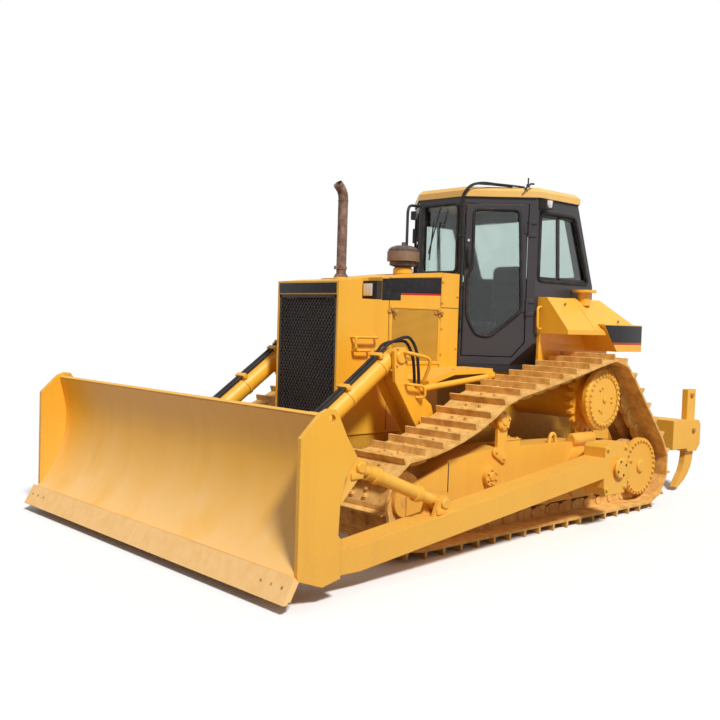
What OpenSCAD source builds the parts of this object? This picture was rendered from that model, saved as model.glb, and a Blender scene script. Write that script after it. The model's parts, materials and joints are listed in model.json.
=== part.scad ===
// Crawler tractor with a straight dozer blade in front and a ripper behind.
// Millimetres. +X points forward, +Y to the left side, +Z up.
// The ground is at Z = 0 and the origin lies midway along the overall length.

/* [Undercarriage] */
// Distance between the centre lines of the two tracks
track_gauge = 2160; // [2080:10:2260]
// Width of a track shoe
shoe_w = 560; // [480:10:600]
// Place of the front idler axle ahead of the origin
idler_x = 1600; // [1550:10:1650]
// Distance between the front and rear idler axles
idler_base = 3080; // [2980:10:3160]
// Radius of the idlers up to the chain rail
idler_r = 225; // [215:1:235]
// Radius of the sprocket up to the chain rail
sprocket_r = 250; // [240:1:260]
// Sprocket axle ahead of the rear idler axle
sprocket_ahead = 630; // [590:10:670]
// Sprocket axle above the idler axles
sprocket_rise = 640; // [610:10:670]
// Radius of the carrier roller
carrier_r = 90; // [80:1:100]
// Carrier roller behind the front idler axle
carrier_back = 1070; // [1020:10:1120]
// Carrier roller axle above the idler axles
carrier_rise = 520; // [500:5:540]
// Radius of the lower rollers
roller_r = 88; // [80:1:92]
// Number of lower rollers on a side
roller_count = 8; // [6:1:9]
// Pitch of the chain links
chain_pitch = 190; // [180:1:200]
// Height of a link from its rail to the shoe
link_h = 95; // [85:1:100]
// Thickness of a shoe plate
shoe_t = 22; // [18:1:26]
// Height of a grouser above its shoe plate
grouser_h = 50; // [40:1:60]
// Sag of the upper run ahead of the carrier roller
sag_front = 80; // [40:5:90]
// Sag of the upper run behind the carrier roller
sag_rear = 10; // [0:5:30]
// Height of the trunnions that carry the push arms
trunnion_z = 510; // [490:5:530]
// Trunnions behind the origin
trunnion_back = 500; // [460:10:540]
// Radius of a trunnion
trunnion_r = 75; // [65:1:85]

/* [Blade] */
// Place of the cutting edge ahead of the origin
blade_x = 3100; // [3050:10:3140]
// Height of the cutting edge above the ground
edge_z = 75; // [60:5:100]
// Gap between a push arm and the end plate of the blade
end_gap = 72; // [50:2:90]
// Radius of the hollow face
face_r = 813; // [780:1:860]
// Thickness of the face plate and the end plates
plate_t = 30; // [24:1:36]
// Overhang of the corner bits past the end plates
bit_overhang = 18; // [8:1:30]
// Radius of the lifting eye bores in the end plates
eye_r = 28; // [22:1:34]
// Thickness of a push arm across the machine
arm_w = 200; // [160:10:220]
// Gap between a track and its push arm
arm_gap = 70; // [50:5:90]
// Radius of a brace tube
brace_r = 45; // [38:1:52]

/* [Lift cylinders] */
// Distance of a lift cylinder from the middle
lift_y = 650; // [640:5:660]
// Radius of a lift cylinder barrel
barrel_r = 75; // [68:1:78]
// Radius of a lift cylinder rod
rod_r = 45; // [38:1:50]
// Height of the upper pivots
lift_z = 1394; // [1370:2:1420]
// Place of the upper pivots ahead of the origin
lift_x = 1230; // [1210:2:1250]
// Length of a barrel from its pivot
barrel_len = 1000; // [960:10:1040]

/* [Body] */
// Half of the hood width
hood_half = 380; // [360:5:400]
// Height of the hood at its front edge
hood_front_z = 1970; // [1930:5:2010]
// Height of the hood at the cowl
hood_rear_z = 2097; // [2070:1:2130]
// Front face of the radiator guard
guard_x = 1550; // [1520:5:1580]
// Length of the radiator guard
guard_len = 550; // [520:10:580]
// Wall of the radiator guard
guard_wall = 40; // [30:1:50]
// Bottom of the radiator guard
guard_z = 760; // [740:5:780]
// Width of the radiator guard's rim round the grille
rim_w = 20; // [16:1:30]
// Openings in a row of the grille
grille_cols = 5; // [4:1:6]
// Front end of the engine side panels ahead of the origin
panel_front = 840; // [800:10:880]
// Thickness of sheet panels
sheet_t = 15; // [10:1:20]
// Rear end of the hood ahead of the origin
hood_rear_x = 380; // [350:5:410]
// Radius of the exhaust pipe
stack_r = 40; // [34:1:46]
// Height of the exhaust tip
stack_top = 2775; // [2700:5:2850]
// Radius of the precleaner bowl
bowl_r = 140; // [120:2:150]

/* [Cab] */
// Floor of the cab
cab_floor_z = 1310; // [1300:5:1330]
// Underside of the cab roof
cab_top_z = 2800; // [2740:10:2860]
// Half width of the narrow front of the cab
cab_front_half = 270; // [250:5:290]
// Half width of the cab behind its doors
cab_half = 750; // [730:5:770]
// Rear end of the angled sides behind the cab front
cab_corner_back = 450; // [430:5:470]
// Length of the cab at its window sill
cab_len = 1350; // [1300:10:1400]
// Rearward lean of the back window
cab_lean = 290; // [260:10:310]
// Thickness of the cab walls and doors
cab_wall = 50; // [40:1:60]
// Gap around a door
door_gap = 8; // [6:1:12]
// Thickness of the glass
glass_t = 8; // [6:1:10]
// Thickness of the roof
roof_t = 90; // [70:5:110]

/* [Tanks] */
// Outer edge of the side tanks
tank_half = 1100; // [1060:10:1140]
// Top of the tanks
tank_top = 1925; // [1900:5:1950]
// Front face of the side tanks behind the origin
tank_front = 500; // [480:10:540]
// Rear face of the tanks behind the origin
tank_rear = 1645; // [1630:5:1650]

/* [Ripper] */
// Length of a ripper link
link_len = 625; // [600:5:650]
// Drop of the rear end of the links below their front end
link_drop = 80; // [60:5:100]
// Distance between the upper and lower links
link_rise = 340; // [310:5:370]
// Width of the ripper beam
beam_w = 2100; // [1980:10:2200]
// Distance from the middle to the outer shanks
shank_y = 980; // [920:10:1000]
// Thickness of a shank
shank_t = 60; // [50:1:70]
// Clearance of the shank tips above the ground
tip_z = 30; // [20:5:60]

/* [Hidden] */
$fn = 48;

// Colours
paint = "#F0AF3C";
black = "#26242A";
steel = "#8A8278";
charcoal = "#4B484E";
rust = "#7A5A48";
clear = "#A9BDBD";

// Radial clearance of pins and shafts
pin_gap = 0.3;

// Undercarriage places
idler_z = idler_r + link_h + shoe_t + grouser_h;
rear_idler_x = idler_x - idler_base;
sprocket_x = rear_idler_x + sprocket_ahead;
sprocket_z = idler_z + sprocket_rise;
carrier_x = idler_x - carrier_back;
carrier_z = idler_z + carrier_rise;
track_y = track_gauge / 2;
track_out = track_y + shoe_w / 2;
rail_in = 40;
rail_out = 92;
side_in = 112;
side_out = 140;
rail_z = idler_z - idler_r;
roller_z = rail_z + roller_r + pin_gap;
roller_first = idler_x - 390;
roller_step = (idler_base - 740) / (roller_count - 1);
roller_shaft = 32;
idler_shaft = 45;
tread_half = 108;

// Runs of the chain between its four wheels, seen from the left with +X to the right
wheels = [[idler_x, idler_z, idler_r + link_h], [rear_idler_x, idler_z, idler_r + link_h],
    [sprocket_x, sprocket_z, sprocket_r + link_h], [carrier_x, carrier_z, carrier_r + link_h]];
run_sag = [0, 0, sag_rear, sag_front];

function wheel_c(i) = [wheels[i % 4][0], wheels[i % 4][1]];
function wheel_r(i) = wheels[i % 4][2];
function unit(a) = [cos(a), sin(a)];
function run_angle(i) = let (d = wheel_c(i + 1) - wheel_c(i))
    atan2(d[1], d[0]) + acos((wheel_r(i) - wheel_r(i + 1)) / norm(d));
function below(a, limit) = a > limit + 90 ? below(a - 360, limit) : min(a, limit);
function run_points(i, n) = let (u = unit(run_angle(i)))
    let (p = wheel_c(i) + wheel_r(i) * u, q = wheel_c(i + 1) + wheel_r(i + 1) * u)
    [for (k = [1 : n - 1]) let (t = k / n) p + (q - p) * t - u * 4 * run_sag[i] * t * (1 - t)];
function wrap_points(i, n) = let (a = run_angle(i + 3), b = below(run_angle(i), a))
    [for (k = [0 : n]) wheel_c(i) + wheel_r(i) * unit(a + (b - a) * k / n)];
loop = [for (i = [0 : 3]) each concat(wrap_points(i, 24), run_points(i, 24))];
loop_n = len(loop);
function loop_at(k) = loop[k % loop_n];
function sums(k, s, out) = k > loop_n ? out
    : sums(k + 1, s + norm(loop_at(k) - loop_at(k - 1)), concat(out, [s + norm(loop_at(k)
        - loop_at(k - 1))]));
loop_s = sums(1, 0, [0]);
loop_len = loop_s[loop_n];
shoe_n = round(loop_len / chain_pitch);
function on_loop(s) = let (k = max([for (j = [0 : loop_n - 1]) if (loop_s[j] <= s) j]))
    loop_at(k) + (loop_at(k + 1) - loop_at(k)) * (s - loop_s[k]) / (loop_s[k + 1] - loop_s[k]);
chain_pins = [for (i = [0 : shoe_n - 1]) on_loop(loop_len * i / shoe_n)];
function pin_at(i) = chain_pins[i % shoe_n];
function link_dir(i) = let (d = pin_at(i + 1) - pin_at(i)) d / norm(d);
function link_out(i) = [-link_dir(i)[1], link_dir(i)[0]];
function link_size(i) = norm(pin_at(i + 1) - pin_at(i));
function on_link(i, u, v) = pin_at(i) + link_dir(i) * u + link_out(i) * v;
function pin_out(i) = let (d = link_out(i) + link_out(i + shoe_n - 1)) d / norm(d);
function tread_r(r) = sqrt(pow(r + link_h, 2) - pow(chain_pitch / 2 + 4, 2)) - link_h - 1;

// Convex outline with each edge moved inward by its own distance, corners counter-clockwise
function cross2(a, b) = a[0] * b[1] - a[1] * b[0];
function edge_line(p, q, d) = let (e = (q - p) / norm(q - p)) [p + d * [-e[1], e[0]], e];
function meet(a, b) = a[0] + a[1] * cross2(b[0] - a[0], b[1]) / cross2(a[1], b[1]);
function inset(pts, ds) = let (n = len(pts))
    let (lines = [for (i = [0 : n - 1]) edge_line(pts[i], pts[(i + 1) % n], ds[i])])
    [for (i = [0 : n - 1]) meet(lines[(i + n - 1) % n], lines[i])];

// Blade places
trunnion_x = -trunnion_back;
face_c = [blade_x + 475, edge_z + 710];
face_low = 226;
face_high = 156.4;
function face_at(a, r) = face_c + r * unit(a);
arm_y = track_out + arm_gap;
plate_y = arm_y + arm_w + end_gap;
box_x = blade_x - 410;
lift_eye = [blade_x - 338, edge_z + 1015];
brace_y = arm_y + arm_w / 2;
brace_top = [blade_x - 700, edge_z + 685];
brace_low = [1610, 445];
lift_pin = [blade_x - 550, edge_z + 375];
lift_angle = atan2(lift_pin[1] - lift_z, lift_pin[0] - lift_x);
lift_len = norm(lift_pin - [lift_x, lift_z]);
lift_pin_r = 35;

// Body places
guard_rear = guard_x - guard_len;
panel_z = 1310;
panel_top = 1805;
frame_half = 370;
frame_top = guard_z;
case_front = -300;
case_top = cab_floor_z - 60;
hood_slope = (hood_rear_z - hood_front_z) / (guard_x - hood_rear_x);
function hood_z(x) = hood_front_z + (guard_x - x) * hood_slope;
cowl_cut = 145;
stack_x = 1300;
stack_y = 120;
stack_seat = 15;
bowl_x = 530;
bowl_y = 60;
bowl_seat = 25;
grille_top = hood_front_z - 108;
lamp_low = hood_front_z - 130;
lamp_y = 215;
lamp_back = guard_rear + 85;
lamp_deep = 55;
belly_z = 430;
rail_low = 600;
side_plate_y = frame_half - 17;

// Cab places
cab_sill = 2050;
cab_low_half = cab_half - 150;
cab_chamfer = 200;
door_dir = [-cab_corner_back, cab_half - cab_front_half];
door_len = norm(door_dir);
door_turn = atan2(door_dir[1], door_dir[0]);
door_top = cab_top_z - 65;
door_low = cab_floor_z + 75;
hinge_u = door_len - 70;
hinge_t = 16;
hinge_places = [door_low + 400, door_top - 250];
knuckle_h = 80;
knuckle_r = 14;
hinge_pin_r = 8;

// Ripper places
case_rear = -1650;
low_pivot = [case_rear - 110, 620];
low_end = low_pivot + [-sqrt(link_len * link_len - link_drop * link_drop), -link_drop];
rise = [0, link_rise];
ripper_pin_r = 40;
ripper_lift = [case_rear - 90, 1400];
ripper_y = 250;
ripper_eye = low_pivot + (low_end - low_pivot) * 0.55;
beam_front = low_end[0] - 90;
beam_depth = 280;
beam_low = low_end[1] - 100;
beam_h = 300;
pocket_x = beam_front - beam_depth;
pocket_len = 300;
shank_d = 170;
shank_x = pocket_x - 60;
shank_places = [-shank_y, 0, shank_y];
ripper_angle = atan2(ripper_eye[1] - ripper_lift[1], ripper_eye[0] - ripper_lift[0]);
ripper_len = norm(ripper_eye - ripper_lift);

// A piece and its mirror image on the right side
module both() {
    children();
    mirror([0, 1, 0]) children();
}

// An outline drawn in X and Z, thick from y0 to y1
module across(y0, y1) {
    translate([0, y1, 0]) rotate([90, 0, 0]) linear_extrude(y1 - y0) children();
}

// A round bar along Y at x and z
module bar(x, z, r, y0, y1) {
    translate([x, y0, z]) rotate([-90, 0, 0]) cylinder(r = r, h = y1 - y0);
}

// A box given by its low and high corners
module block(low, high) {
    translate(low) cube(high - low);
}

// A turned part about the axle at x and z, outline drawn as radius and distance from its middle
module turned(x, y, z) {
    translate([x, y, z]) rotate([-90, 0, 0]) rotate_extrude() children();
}

// The frame between the tracks, with its belly guard, rear case, cross shafts and side plates
module main_frame() {
    color(paint) {
        both() block([case_front - 10, frame_half - 70, rail_low], [guard_x - 70, frame_half, frame_top]);
        both() block([hood_rear_x, side_plate_y, frame_top - 1], [panel_front, frame_half + 8, panel_z]);
        block([guard_x - 250, -frame_half + 60, belly_z + 10], [guard_x - 70, frame_half - 60, guard_z]);
        across(-frame_half, frame_half)
            polygon([[guard_x - 70, belly_z + 90], [guard_x - 70, rail_low], [case_front, rail_low],
                [case_front, case_top], [case_rear, case_top], [case_rear, belly_z + 90],
                [case_rear + 160, belly_z], [guard_x - 230, belly_z]]);
        block([850, -track_y + side_out, 470], [1000, track_y - side_out, 590]);
        both() bar(trunnion_x, trunnion_z, 75, frame_half - 10, track_y - side_out);
        both() bar(sprocket_x, sprocket_z, 190, frame_half - 10, track_y - side_in);
    }
}

// The engine as one plain block
module engine() {
    color(steel) block([hood_rear_x + 20, -frame_half + 85, rail_low],
        [guard_rear - 60, frame_half - 85, 1600]);
}

// The housing round the radiator, with a notch for a lamp in each upper rear corner
module radiator_guard() {
    inner = hood_half - guard_wall;
    color(paint) translate([stack_x, stack_y, hood_z(stack_x) - 20]) cylinder(r = stack_r + 20,
        h = 20 + stack_seat);
    color(paint) both() block([panel_front, hood_half - sheet_t, guard_z],
        [guard_rear + 1, hood_half, panel_top]);
    color(paint) difference() {
        across(-hood_half, hood_half)
            polygon([[guard_x, guard_z], [guard_x, hood_front_z], [guard_rear, hood_z(guard_rear)],
                [guard_rear, guard_z]]);
        block([guard_rear - 1, -inner, guard_z + guard_wall], [guard_x - guard_wall, inner, lamp_low - 15]);
        block([guard_rear - 1, 20 - lamp_y, lamp_low - 20],
            [guard_x - guard_wall, lamp_y - 20, grille_top + 50]);
        block([guard_x - guard_wall - 1, rim_w - hood_half, guard_z + 40],
            [guard_x + 1, hood_half - rim_w, grille_top]);
        both() block([lamp_back, lamp_y, lamp_low], [guard_x - 250, hood_half + 1, hood_rear_z]);
    }
}

module radiator_core() {
    color(steel) block([guard_x - 160, -hood_half + guard_wall, guard_z + guard_wall],
        [guard_x - 60, hood_half - guard_wall, lamp_low - 15]);
}

// The grille as a lattice of bars with staggered openings
module grille() {
    half = hood_half - rim_w;
    low = guard_z + 40;
    pitch = 2 * half / grille_cols;
    rows = floor((grille_top - low) / pitch);
    step = (grille_top - low) / rows;
    hole = pitch / 2 - 12;
    color(black) translate([guard_x - guard_wall, 0, 0]) rotate([90, 0, 90])
        linear_extrude(guard_wall - 10) difference() {
        translate([-half, low]) square([2 * half, grille_top - low]);
        for (i = [0 : grille_cols - 1]) for (j = [0 : rows - 1])
            translate([-half + (i + 0.5) * pitch, low + (j + 0.5) * step]) diamond(hole);
        for (i = [1 : grille_cols - 1]) for (j = [1 : rows - 1])
            translate([-half + i * pitch, low + j * step]) diamond(hole);
    }
}

module diamond(r) {
    polygon([[r, 0], [0, r], [-r, 0], [0, -r]]);
}

// The hood, open below, with an edge lip and the seat of the precleaner
module hood() {
    color(paint) {
        difference() {
            across(-hood_half, hood_half)
                polygon([[guard_rear, panel_top], [guard_rear, hood_z(guard_rear)],
                    [hood_rear_x, hood_rear_z],
                    [hood_rear_x, panel_top]]);
            across(-hood_half + sheet_t, hood_half - sheet_t)
                polygon([[guard_rear + 1, panel_top - 1], [guard_rear + 1, hood_z(guard_rear) - sheet_t],
                    [hood_rear_x - 1, hood_rear_z - sheet_t], [hood_rear_x - 1, panel_top - 1]]);
        }
        both() across(hood_half - 1, hood_half + 12)
            polygon([[guard_rear, hood_z(guard_rear) - 12], [guard_rear, hood_z(guard_rear)],
                [hood_rear_x, hood_rear_z], [hood_rear_x, hood_rear_z - 40]]);
        translate([bowl_x, bowl_y, hood_z(bowl_x) - sheet_t]) cylinder(r = 80, h = sheet_t + bowl_seat);
    }
}

module engine_panels() {
    color("#B98D4A") both()
        block([hood_rear_x, hood_half - sheet_t, panel_z], [panel_front, hood_half, panel_top]);
}

// The cowl, its rear corners cut away for the swing of the doors
module cowl() {
    color(paint) translate([0, 0, case_top]) linear_extrude(hood_rear_z - case_top)
        polygon([[hood_rear_x, -hood_half], [hood_rear_x, hood_half], [cowl_cut, hood_half],
            [0, hood_half - cowl_cut],
            [0, cowl_cut - hood_half], [cowl_cut, -hood_half]]);
}

// The exhaust pipe with its tip bent forward
module exhaust_stack() {
    tip_len = 95;
    tip_lean = 40;
    tip_r = stack_r - 3;
    bend_z = stack_top - tip_len;
    base = hood_z(stack_x) + stack_seat;
    color(rust) difference() {
        union() {
            translate([stack_x, stack_y, base]) cylinder(r = stack_r, h = bend_z + 20 - base);
            translate([stack_x, stack_y, bend_z]) rotate([0, tip_lean, 0]) cylinder(r = tip_r, h = tip_len);
        }
        translate([stack_x, stack_y, bend_z]) rotate([0, tip_lean, 0]) translate([0, 0, tip_len / 2])
            cylinder(r = tip_r - 5, h = tip_len);
    }
}

// The bowl over the air intake: lower ring, bowl band and domed cap
module precleaner() {
    ring_r = bowl_r - 22;
    cap_r = bowl_r - 8;
    color(rust) translate([bowl_x, bowl_y, hood_z(bowl_x) + bowl_seat]) rotate_extrude()
        polygon([[0, 0], [70, 0], [70, 35], [ring_r, 50], [ring_r, 80], [bowl_r, 86], [bowl_r, 168],
            [cap_r, 172],
            [cap_r, 186], [cap_r - 20, 205], [cap_r - 60, 220], [0, 226]]);
}

// Lamps in the notches of the radiator guard, facing forward
module headlamps() {
    color(black) both() block([lamp_back, lamp_y, lamp_low],
        [lamp_back + lamp_deep, hood_half, hood_front_z + 20]);
}

// The brackets that carry the upper ends of the lift cylinders
module lift_brackets() {
    gap = barrel_r + 10;
    wall = 28;
    foot_z = frame_top - 110;
    color(paint) both() difference() {
        union() {
            across(lift_y - gap - wall, lift_y + gap + wall)
                polygon([[lift_x - 75, lift_z + 45], [lift_x - 45, lift_z + 75], [lift_x + 45, lift_z + 75],
                    [lift_x + 75, lift_z + 45], [lift_x + 55, lift_z - 190], [lift_x - 330, foot_z],
                    [lift_x - 480, foot_z], [lift_x - 360, lift_z - 380], [lift_x - 75, lift_z - 170]]);
            block([lift_x - 450, frame_half, foot_z], [lift_x - 340, lift_y, frame_top - 10]);
            block([lift_x - 60, hood_half, lift_z - 200], [lift_x + 50, lift_y, lift_z - 110]);
        }
        across(lift_y - gap, lift_y + gap)
            polygon([[lift_x - 400, lift_z + 100], [lift_x + 400, lift_z + 100],
                [lift_x + 400, foot_z - 10],
                [lift_x - 400, foot_z - 10], [lift_x - 25, lift_z - 190], [lift_x - 25, lift_z - 115],
                [lift_x - 400, lift_z - 115]]);
    }
    color(steel) both() bar(lift_x, lift_z, lift_pin_r, lift_y - gap - wall, lift_y + gap + wall);
}

// Cab outlines, each wall moved inward by d
module cab_solid(d) {
    over = d > 0 ? -10 : 0;
    plan = [[0, -cab_front_half], [0, cab_front_half], [-cab_corner_back, cab_half], [-cab_len, cab_half],
        [-cab_len, -cab_half], [-cab_corner_back, -cab_half]];
    side = [[-cab_len, cab_floor_z], [0, cab_floor_z], [0, cab_top_z], [-cab_len + cab_lean, cab_top_z],
        [-cab_len, cab_sill]];
    front = [[-cab_low_half, cab_floor_z], [cab_low_half, cab_floor_z],
        [cab_half, cab_floor_z + cab_chamfer],
        [cab_half, cab_top_z], [-cab_half, cab_top_z], [-cab_half, cab_floor_z + cab_chamfer]];
    intersection() {
        translate([0, 0, cab_floor_z - 20]) linear_extrude(cab_top_z - cab_floor_z + 40)
            polygon(inset(plan, [d, d, d, d, d, d]));
        across(-cab_half - 1, cab_half + 1) polygon(inset(side, [over, d, over, d, d]));
        translate([1, 0, 0]) rotate([90, 0, -90]) linear_extrude(cab_len + 2)
            polygon(inset(front, [over, d, d, over, d, d]));
    }
}

// A piece of the left door's plane: u runs back along it, t outward from the cab wall
module on_door(t0, t1) {
    translate([0, cab_front_half, 0]) rotate([0, 0, door_turn]) translate([0, -t0, 0]) rotate([90, 0, 0])
        linear_extrude(t1 - t0) children();
}

module door_outline(g) {
    u1 = hinge_u - 12;
    polygon([[25 - g, door_low - g], [u1 - 110 + g / 2, door_low - g], [u1 + g, door_low + 130 - g / 2],
        [u1 + g, door_top + g], [25 - g, door_top + g]]);
}

module door_window() {
    u1 = hinge_u - 42;
    door_h = door_top - door_low;
    polygon([[150, door_low + door_h * 37 / 270], [270, door_low + door_h * 17 / 135],
        [u1, door_low + door_h * 3 / 10], [u1 - 45, door_top - 45], [98, door_top - 45],
        [98, door_top - door_h * 113 / 270], [55, door_top - door_h * 64 / 135],
        [58, door_low + door_h * 73 / 270], [98, door_low + door_h / 5]]);
}

// Windows in the fixed walls of the cab
module window_cuts() {
    block([-200, -cab_front_half + 60, hood_rear_z + 30], [100, cab_front_half - 60, cab_top_z - 60]);
    block([-cab_len - 50, -cab_half + 150, cab_sill + 80],
        [-cab_len + 300, cab_half - 150, cab_top_z - 100]);
    both() across(cab_half - 120, cab_half + 20)
        polygon([[-cab_corner_back - 40, cab_sill + 20], [-cab_len + 80, cab_sill + 20],
            [-cab_len + cab_lean + 40, cab_top_z - 120], [-cab_corner_back - 40, cab_top_z - 120]]);
}

module cab_floor() {
    color(black) translate([0, 0, case_top]) linear_extrude(cab_floor_z - case_top)
        polygon([[0, -cab_front_half], [0, cab_front_half], [-cab_corner_back * 0.7, cab_low_half],
            [-cab_len, cab_low_half], [-cab_len, -cab_low_half], [-cab_corner_back * 0.7, -cab_low_half]]);
}

// Upright round piece on the left door's hinge line
module hinge_bar(r, z0, z1) {
    translate([0, cab_front_half, z0]) rotate([0, 0, door_turn]) translate([hinge_u, -hinge_t, 0])
        cylinder(r = r, h = z1 - z0);
}

module cab_frame() {
    color(charcoal) difference() {
        cab_solid(0);
        cab_solid(cab_wall);
        window_cuts();
        both() on_door(-cab_wall - 30, 30) door_outline(door_gap);
    }
    color(charcoal) both() for (z = hinge_places) {
        hinge_bar(hinge_pin_r, z - 30, z + knuckle_h + 30);
        for (low = [z - 31, z + knuckle_h + 1]) {
            hinge_bar(knuckle_r, low, low + 30);
            on_door(-4, 8) translate([hinge_u, low]) square([door_len - hinge_u - 3, 30]);
        }
    }
}

// The roof with its upper edges sloped off
module cab_roof() {
    grow = 20;
    slope = 35;
    plan = [[5, -cab_front_half - 10], [5, cab_front_half + 10], [-cab_corner_back, cab_half + grow],
        [-cab_len + cab_lean - 5, cab_half + grow], [-cab_len + cab_lean - 5, -cab_half - grow],
        [-cab_corner_back, -cab_half - grow]];
    color(paint) translate([0, 0, cab_top_z]) hull() {
        linear_extrude(roof_t - slope) polygon(plan);
        linear_extrude(roof_t) polygon(inset(plan, [slope, slope, slope, slope, slope, slope]));
    }
}

module cab_glass() {
    mid = (cab_wall - glass_t) / 2;
    color(clear) intersection() {
        difference() {
            cab_solid(mid);
            cab_solid(mid + glass_t);
        }
        window_cuts();
    }
}

module seat() {
    cushion_back = cab_len - 350;
    color(black) {
        block([-cushion_back + 100, -150, cab_floor_z], [-cushion_back + 380, 150, cab_floor_z + 250]);
        block([-cushion_back, -250, cab_floor_z + 250], [-cushion_back + 480, 250, cab_floor_z + 380]);
        block([-cushion_back - 80, -240, cab_floor_z + 300], [-cushion_back + 40, 240, cab_floor_z + 980]);
    }
}

module consoles() {
    color(black) {
        block([-180, -180, cab_floor_z], [-cab_wall, 180, cab_floor_z + 620]);
        both() block([-1000, 300, cab_floor_z], [-480, 430, cab_floor_z + 480]);
    }
}

// Tanks over the tracks beside the cab, each with an upright box at its rear end
module side_tanks() {
    box_top = 1700;
    box_low = 1450;
    skirt_low = cab_floor_z + 20;
    color(paint) both() {
        intersection() {
            translate([-tank_front, 0, 0]) rotate([90, 0, -90]) linear_extrude(tank_rear - tank_front)
                polygon([[-cab_half, skirt_low], [-cab_half - 25, skirt_low],
                    [-cab_half - 25, cab_floor_z + cab_chamfer],
                    [-cab_half - 40, 1600], [-tank_half + 20, 1600], [-tank_half + 20, 1640],
                        [-cab_half - 96, tank_top],
                    [-cab_half, tank_top]]);
            across(0, tank_half + 10)
                polygon([[0, skirt_low], [0, 2100], [-tank_rear + 340, tank_top + 20],
                    [-tank_rear, box_top], [-tank_rear, box_low], [-tank_front - 760, skirt_low]]);
        }
        across(cab_half, tank_half)
            polygon([[-tank_front - 530, box_top], [-tank_front - 760, box_low], [-tank_rear - 40, box_low],
                [-tank_rear - 40, box_top]]);
    }
    color(paint) translate([-tank_front - 540, cab_half + 120, tank_top - 60]) {
        cylinder(r = 60, h = 140);
        translate([0, 0, 120]) cylinder(r = 110, h = 25);
    }
}

module rear_tank() {
    color(paint) across(-cab_half, cab_half)
        polygon([[-cab_len, case_top], [-cab_len, tank_top], [-tank_rear, 1700], [-tank_rear, case_top]]);
}

// Outline of the shoes with their grousers
module shoe_outline() {
    difference() {
        polygon([for (i = [0 : shoe_n - 1]) let (p = link_size(i)) each [on_link(i, 7, shoe_t),
            on_link(i, 14, shoe_t), on_link(i, 18, shoe_t + grouser_h), on_link(i, 34, shoe_t + grouser_h),
            on_link(i, 42, shoe_t), on_link(i, p - 7, shoe_t)]]);
        polygon(chain_pins);
    }
}

// Outline of the link rails, scalloped at each pin
module rail_outline() {
    difference() {
        polygon([for (i = [0 : shoe_n - 1]) pin_at(i) + 6 * pin_out(i)]);
        polygon([for (i = [0 : shoe_n - 1]) let (p = link_size(i)) each [pin_at(i) - pin_out(i)
            * (link_h - 28),
            on_link(i, 42, -link_h), on_link(i, p - 42, -link_h)]]);
    }
}

module track_loop() {
    across(track_y - shoe_w / 2, track_out) shoe_outline();
    across(track_y - rail_out, track_y - rail_in) rail_outline();
    across(track_y + rail_in, track_y + rail_out) rail_outline();
}

module track_left() {
    color(steel) track_loop();
}

module track_right() {
    color(steel) mirror([0, 1, 0]) track_loop();
}

// The roller frame of the left track, with its trunnion, idler yokes and rear idler housing
module roller_frame() {
    difference() {
        union() {
            across(track_y - side_out, track_y + side_out)
                polygon([[roller_first + 60, 400], [roller_first + 60, 560], [idler_x - 440, 656],
                    [carrier_x + 30, 710],
                    [trunnion_x + 300, 690], [trunnion_x - 200, 674], [rear_idler_x + 330, 560],
                    [rear_idler_x + 330, 400]]);
            for (y = [-side_out, side_in]) across(track_y + y, track_y + y + side_out - side_in) {
                translate([rear_idler_x, idler_z - 110]) square([idler_base, 220]);
                translate([idler_x, idler_z]) circle(r = 110);
                translate([rear_idler_x, idler_z]) circle(r = 110);
                translate([rear_idler_x + 260, rail_z + 25]) square([idler_base - 520, 200]);
            }
            across(track_y + side_in, track_y + side_out + 12)
                polygon([[idler_x - 435, idler_z - 100], [idler_x - 435, 640], [idler_x - 60, 500],
                    [idler_x, idler_z + 100],
                    [idler_x, idler_z - 100]]);
            block([carrier_x - 60, track_y + side_in, 590],
                [carrier_x + 60, track_y + side_out, carrier_z + 50]);
            block([carrier_x - 230, track_y + 20, 650], [carrier_x - 59, track_y + side_out, 755]);
            bar(trunnion_x, trunnion_z, 130, track_y + side_out - 10, arm_y - 20);
            bar(trunnion_x, trunnion_z, trunnion_r, track_y + side_out - 10, arm_y + arm_w + 20);
            bar(idler_x - 910, 495, 75, track_y + side_out - 10, track_y + side_out + 40);
            across(track_y + side_out - 1, track_y + side_out + 40) {
                translate([rear_idler_x, idler_z]) circle(r = idler_r + 40);
                translate([rear_idler_x, idler_z - 140]) square([420, 280]);
            }
        }
        for (i = [0 : roller_count - 1])
            bar(roller_first - i * roller_step, roller_z, roller_shaft + pin_gap, track_y - side_out - 1,
                track_y + side_out + 1);
        for (x = [idler_x, rear_idler_x])
            bar(x, idler_z, idler_shaft + pin_gap, track_y - side_out - 1, track_y + side_out + 1);
        bar(carrier_x, carrier_z, roller_shaft + pin_gap, track_y + side_in - 1, track_y + side_out + 1);
    }
}

module track_frames() {
    color(paint) both() roller_frame();
}

// One turned roller with a groove between its two treads
module roller(x, z, r, shaft, far) {
    turned(x, track_y, z) polygon([[0, -far], [shaft, -far], [shaft, -tread_half], [r, -tread_half],
        [r, -36], [r - 20, -30], [r - 20, 30], [r, 36], [r, tread_half], [shaft, tread_half],
            [shaft, side_out],
        [0, side_out]]);
}

module rollers() {
    color(steel) both() {
        for (i = [0 : roller_count - 1])
            roller(roller_first - i * roller_step, roller_z, roller_r, roller_shaft, side_out);
        roller(carrier_x, carrier_z, tread_r(carrier_r), roller_shaft, tread_half);
        for (x = [idler_x, rear_idler_x]) {
            r = tread_r(idler_r);
            turned(x, track_y, idler_z) polygon([[0, -side_out], [idler_shaft, -side_out],
                [idler_shaft, -tread_half], [r, -tread_half], [r, -34], [r + 26, -28], [r + 26, 28],
                    [r, 34],
                [r, tread_half], [idler_shaft, tread_half], [idler_shaft, side_out], [0, side_out]]);
        }
    }
}

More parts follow.
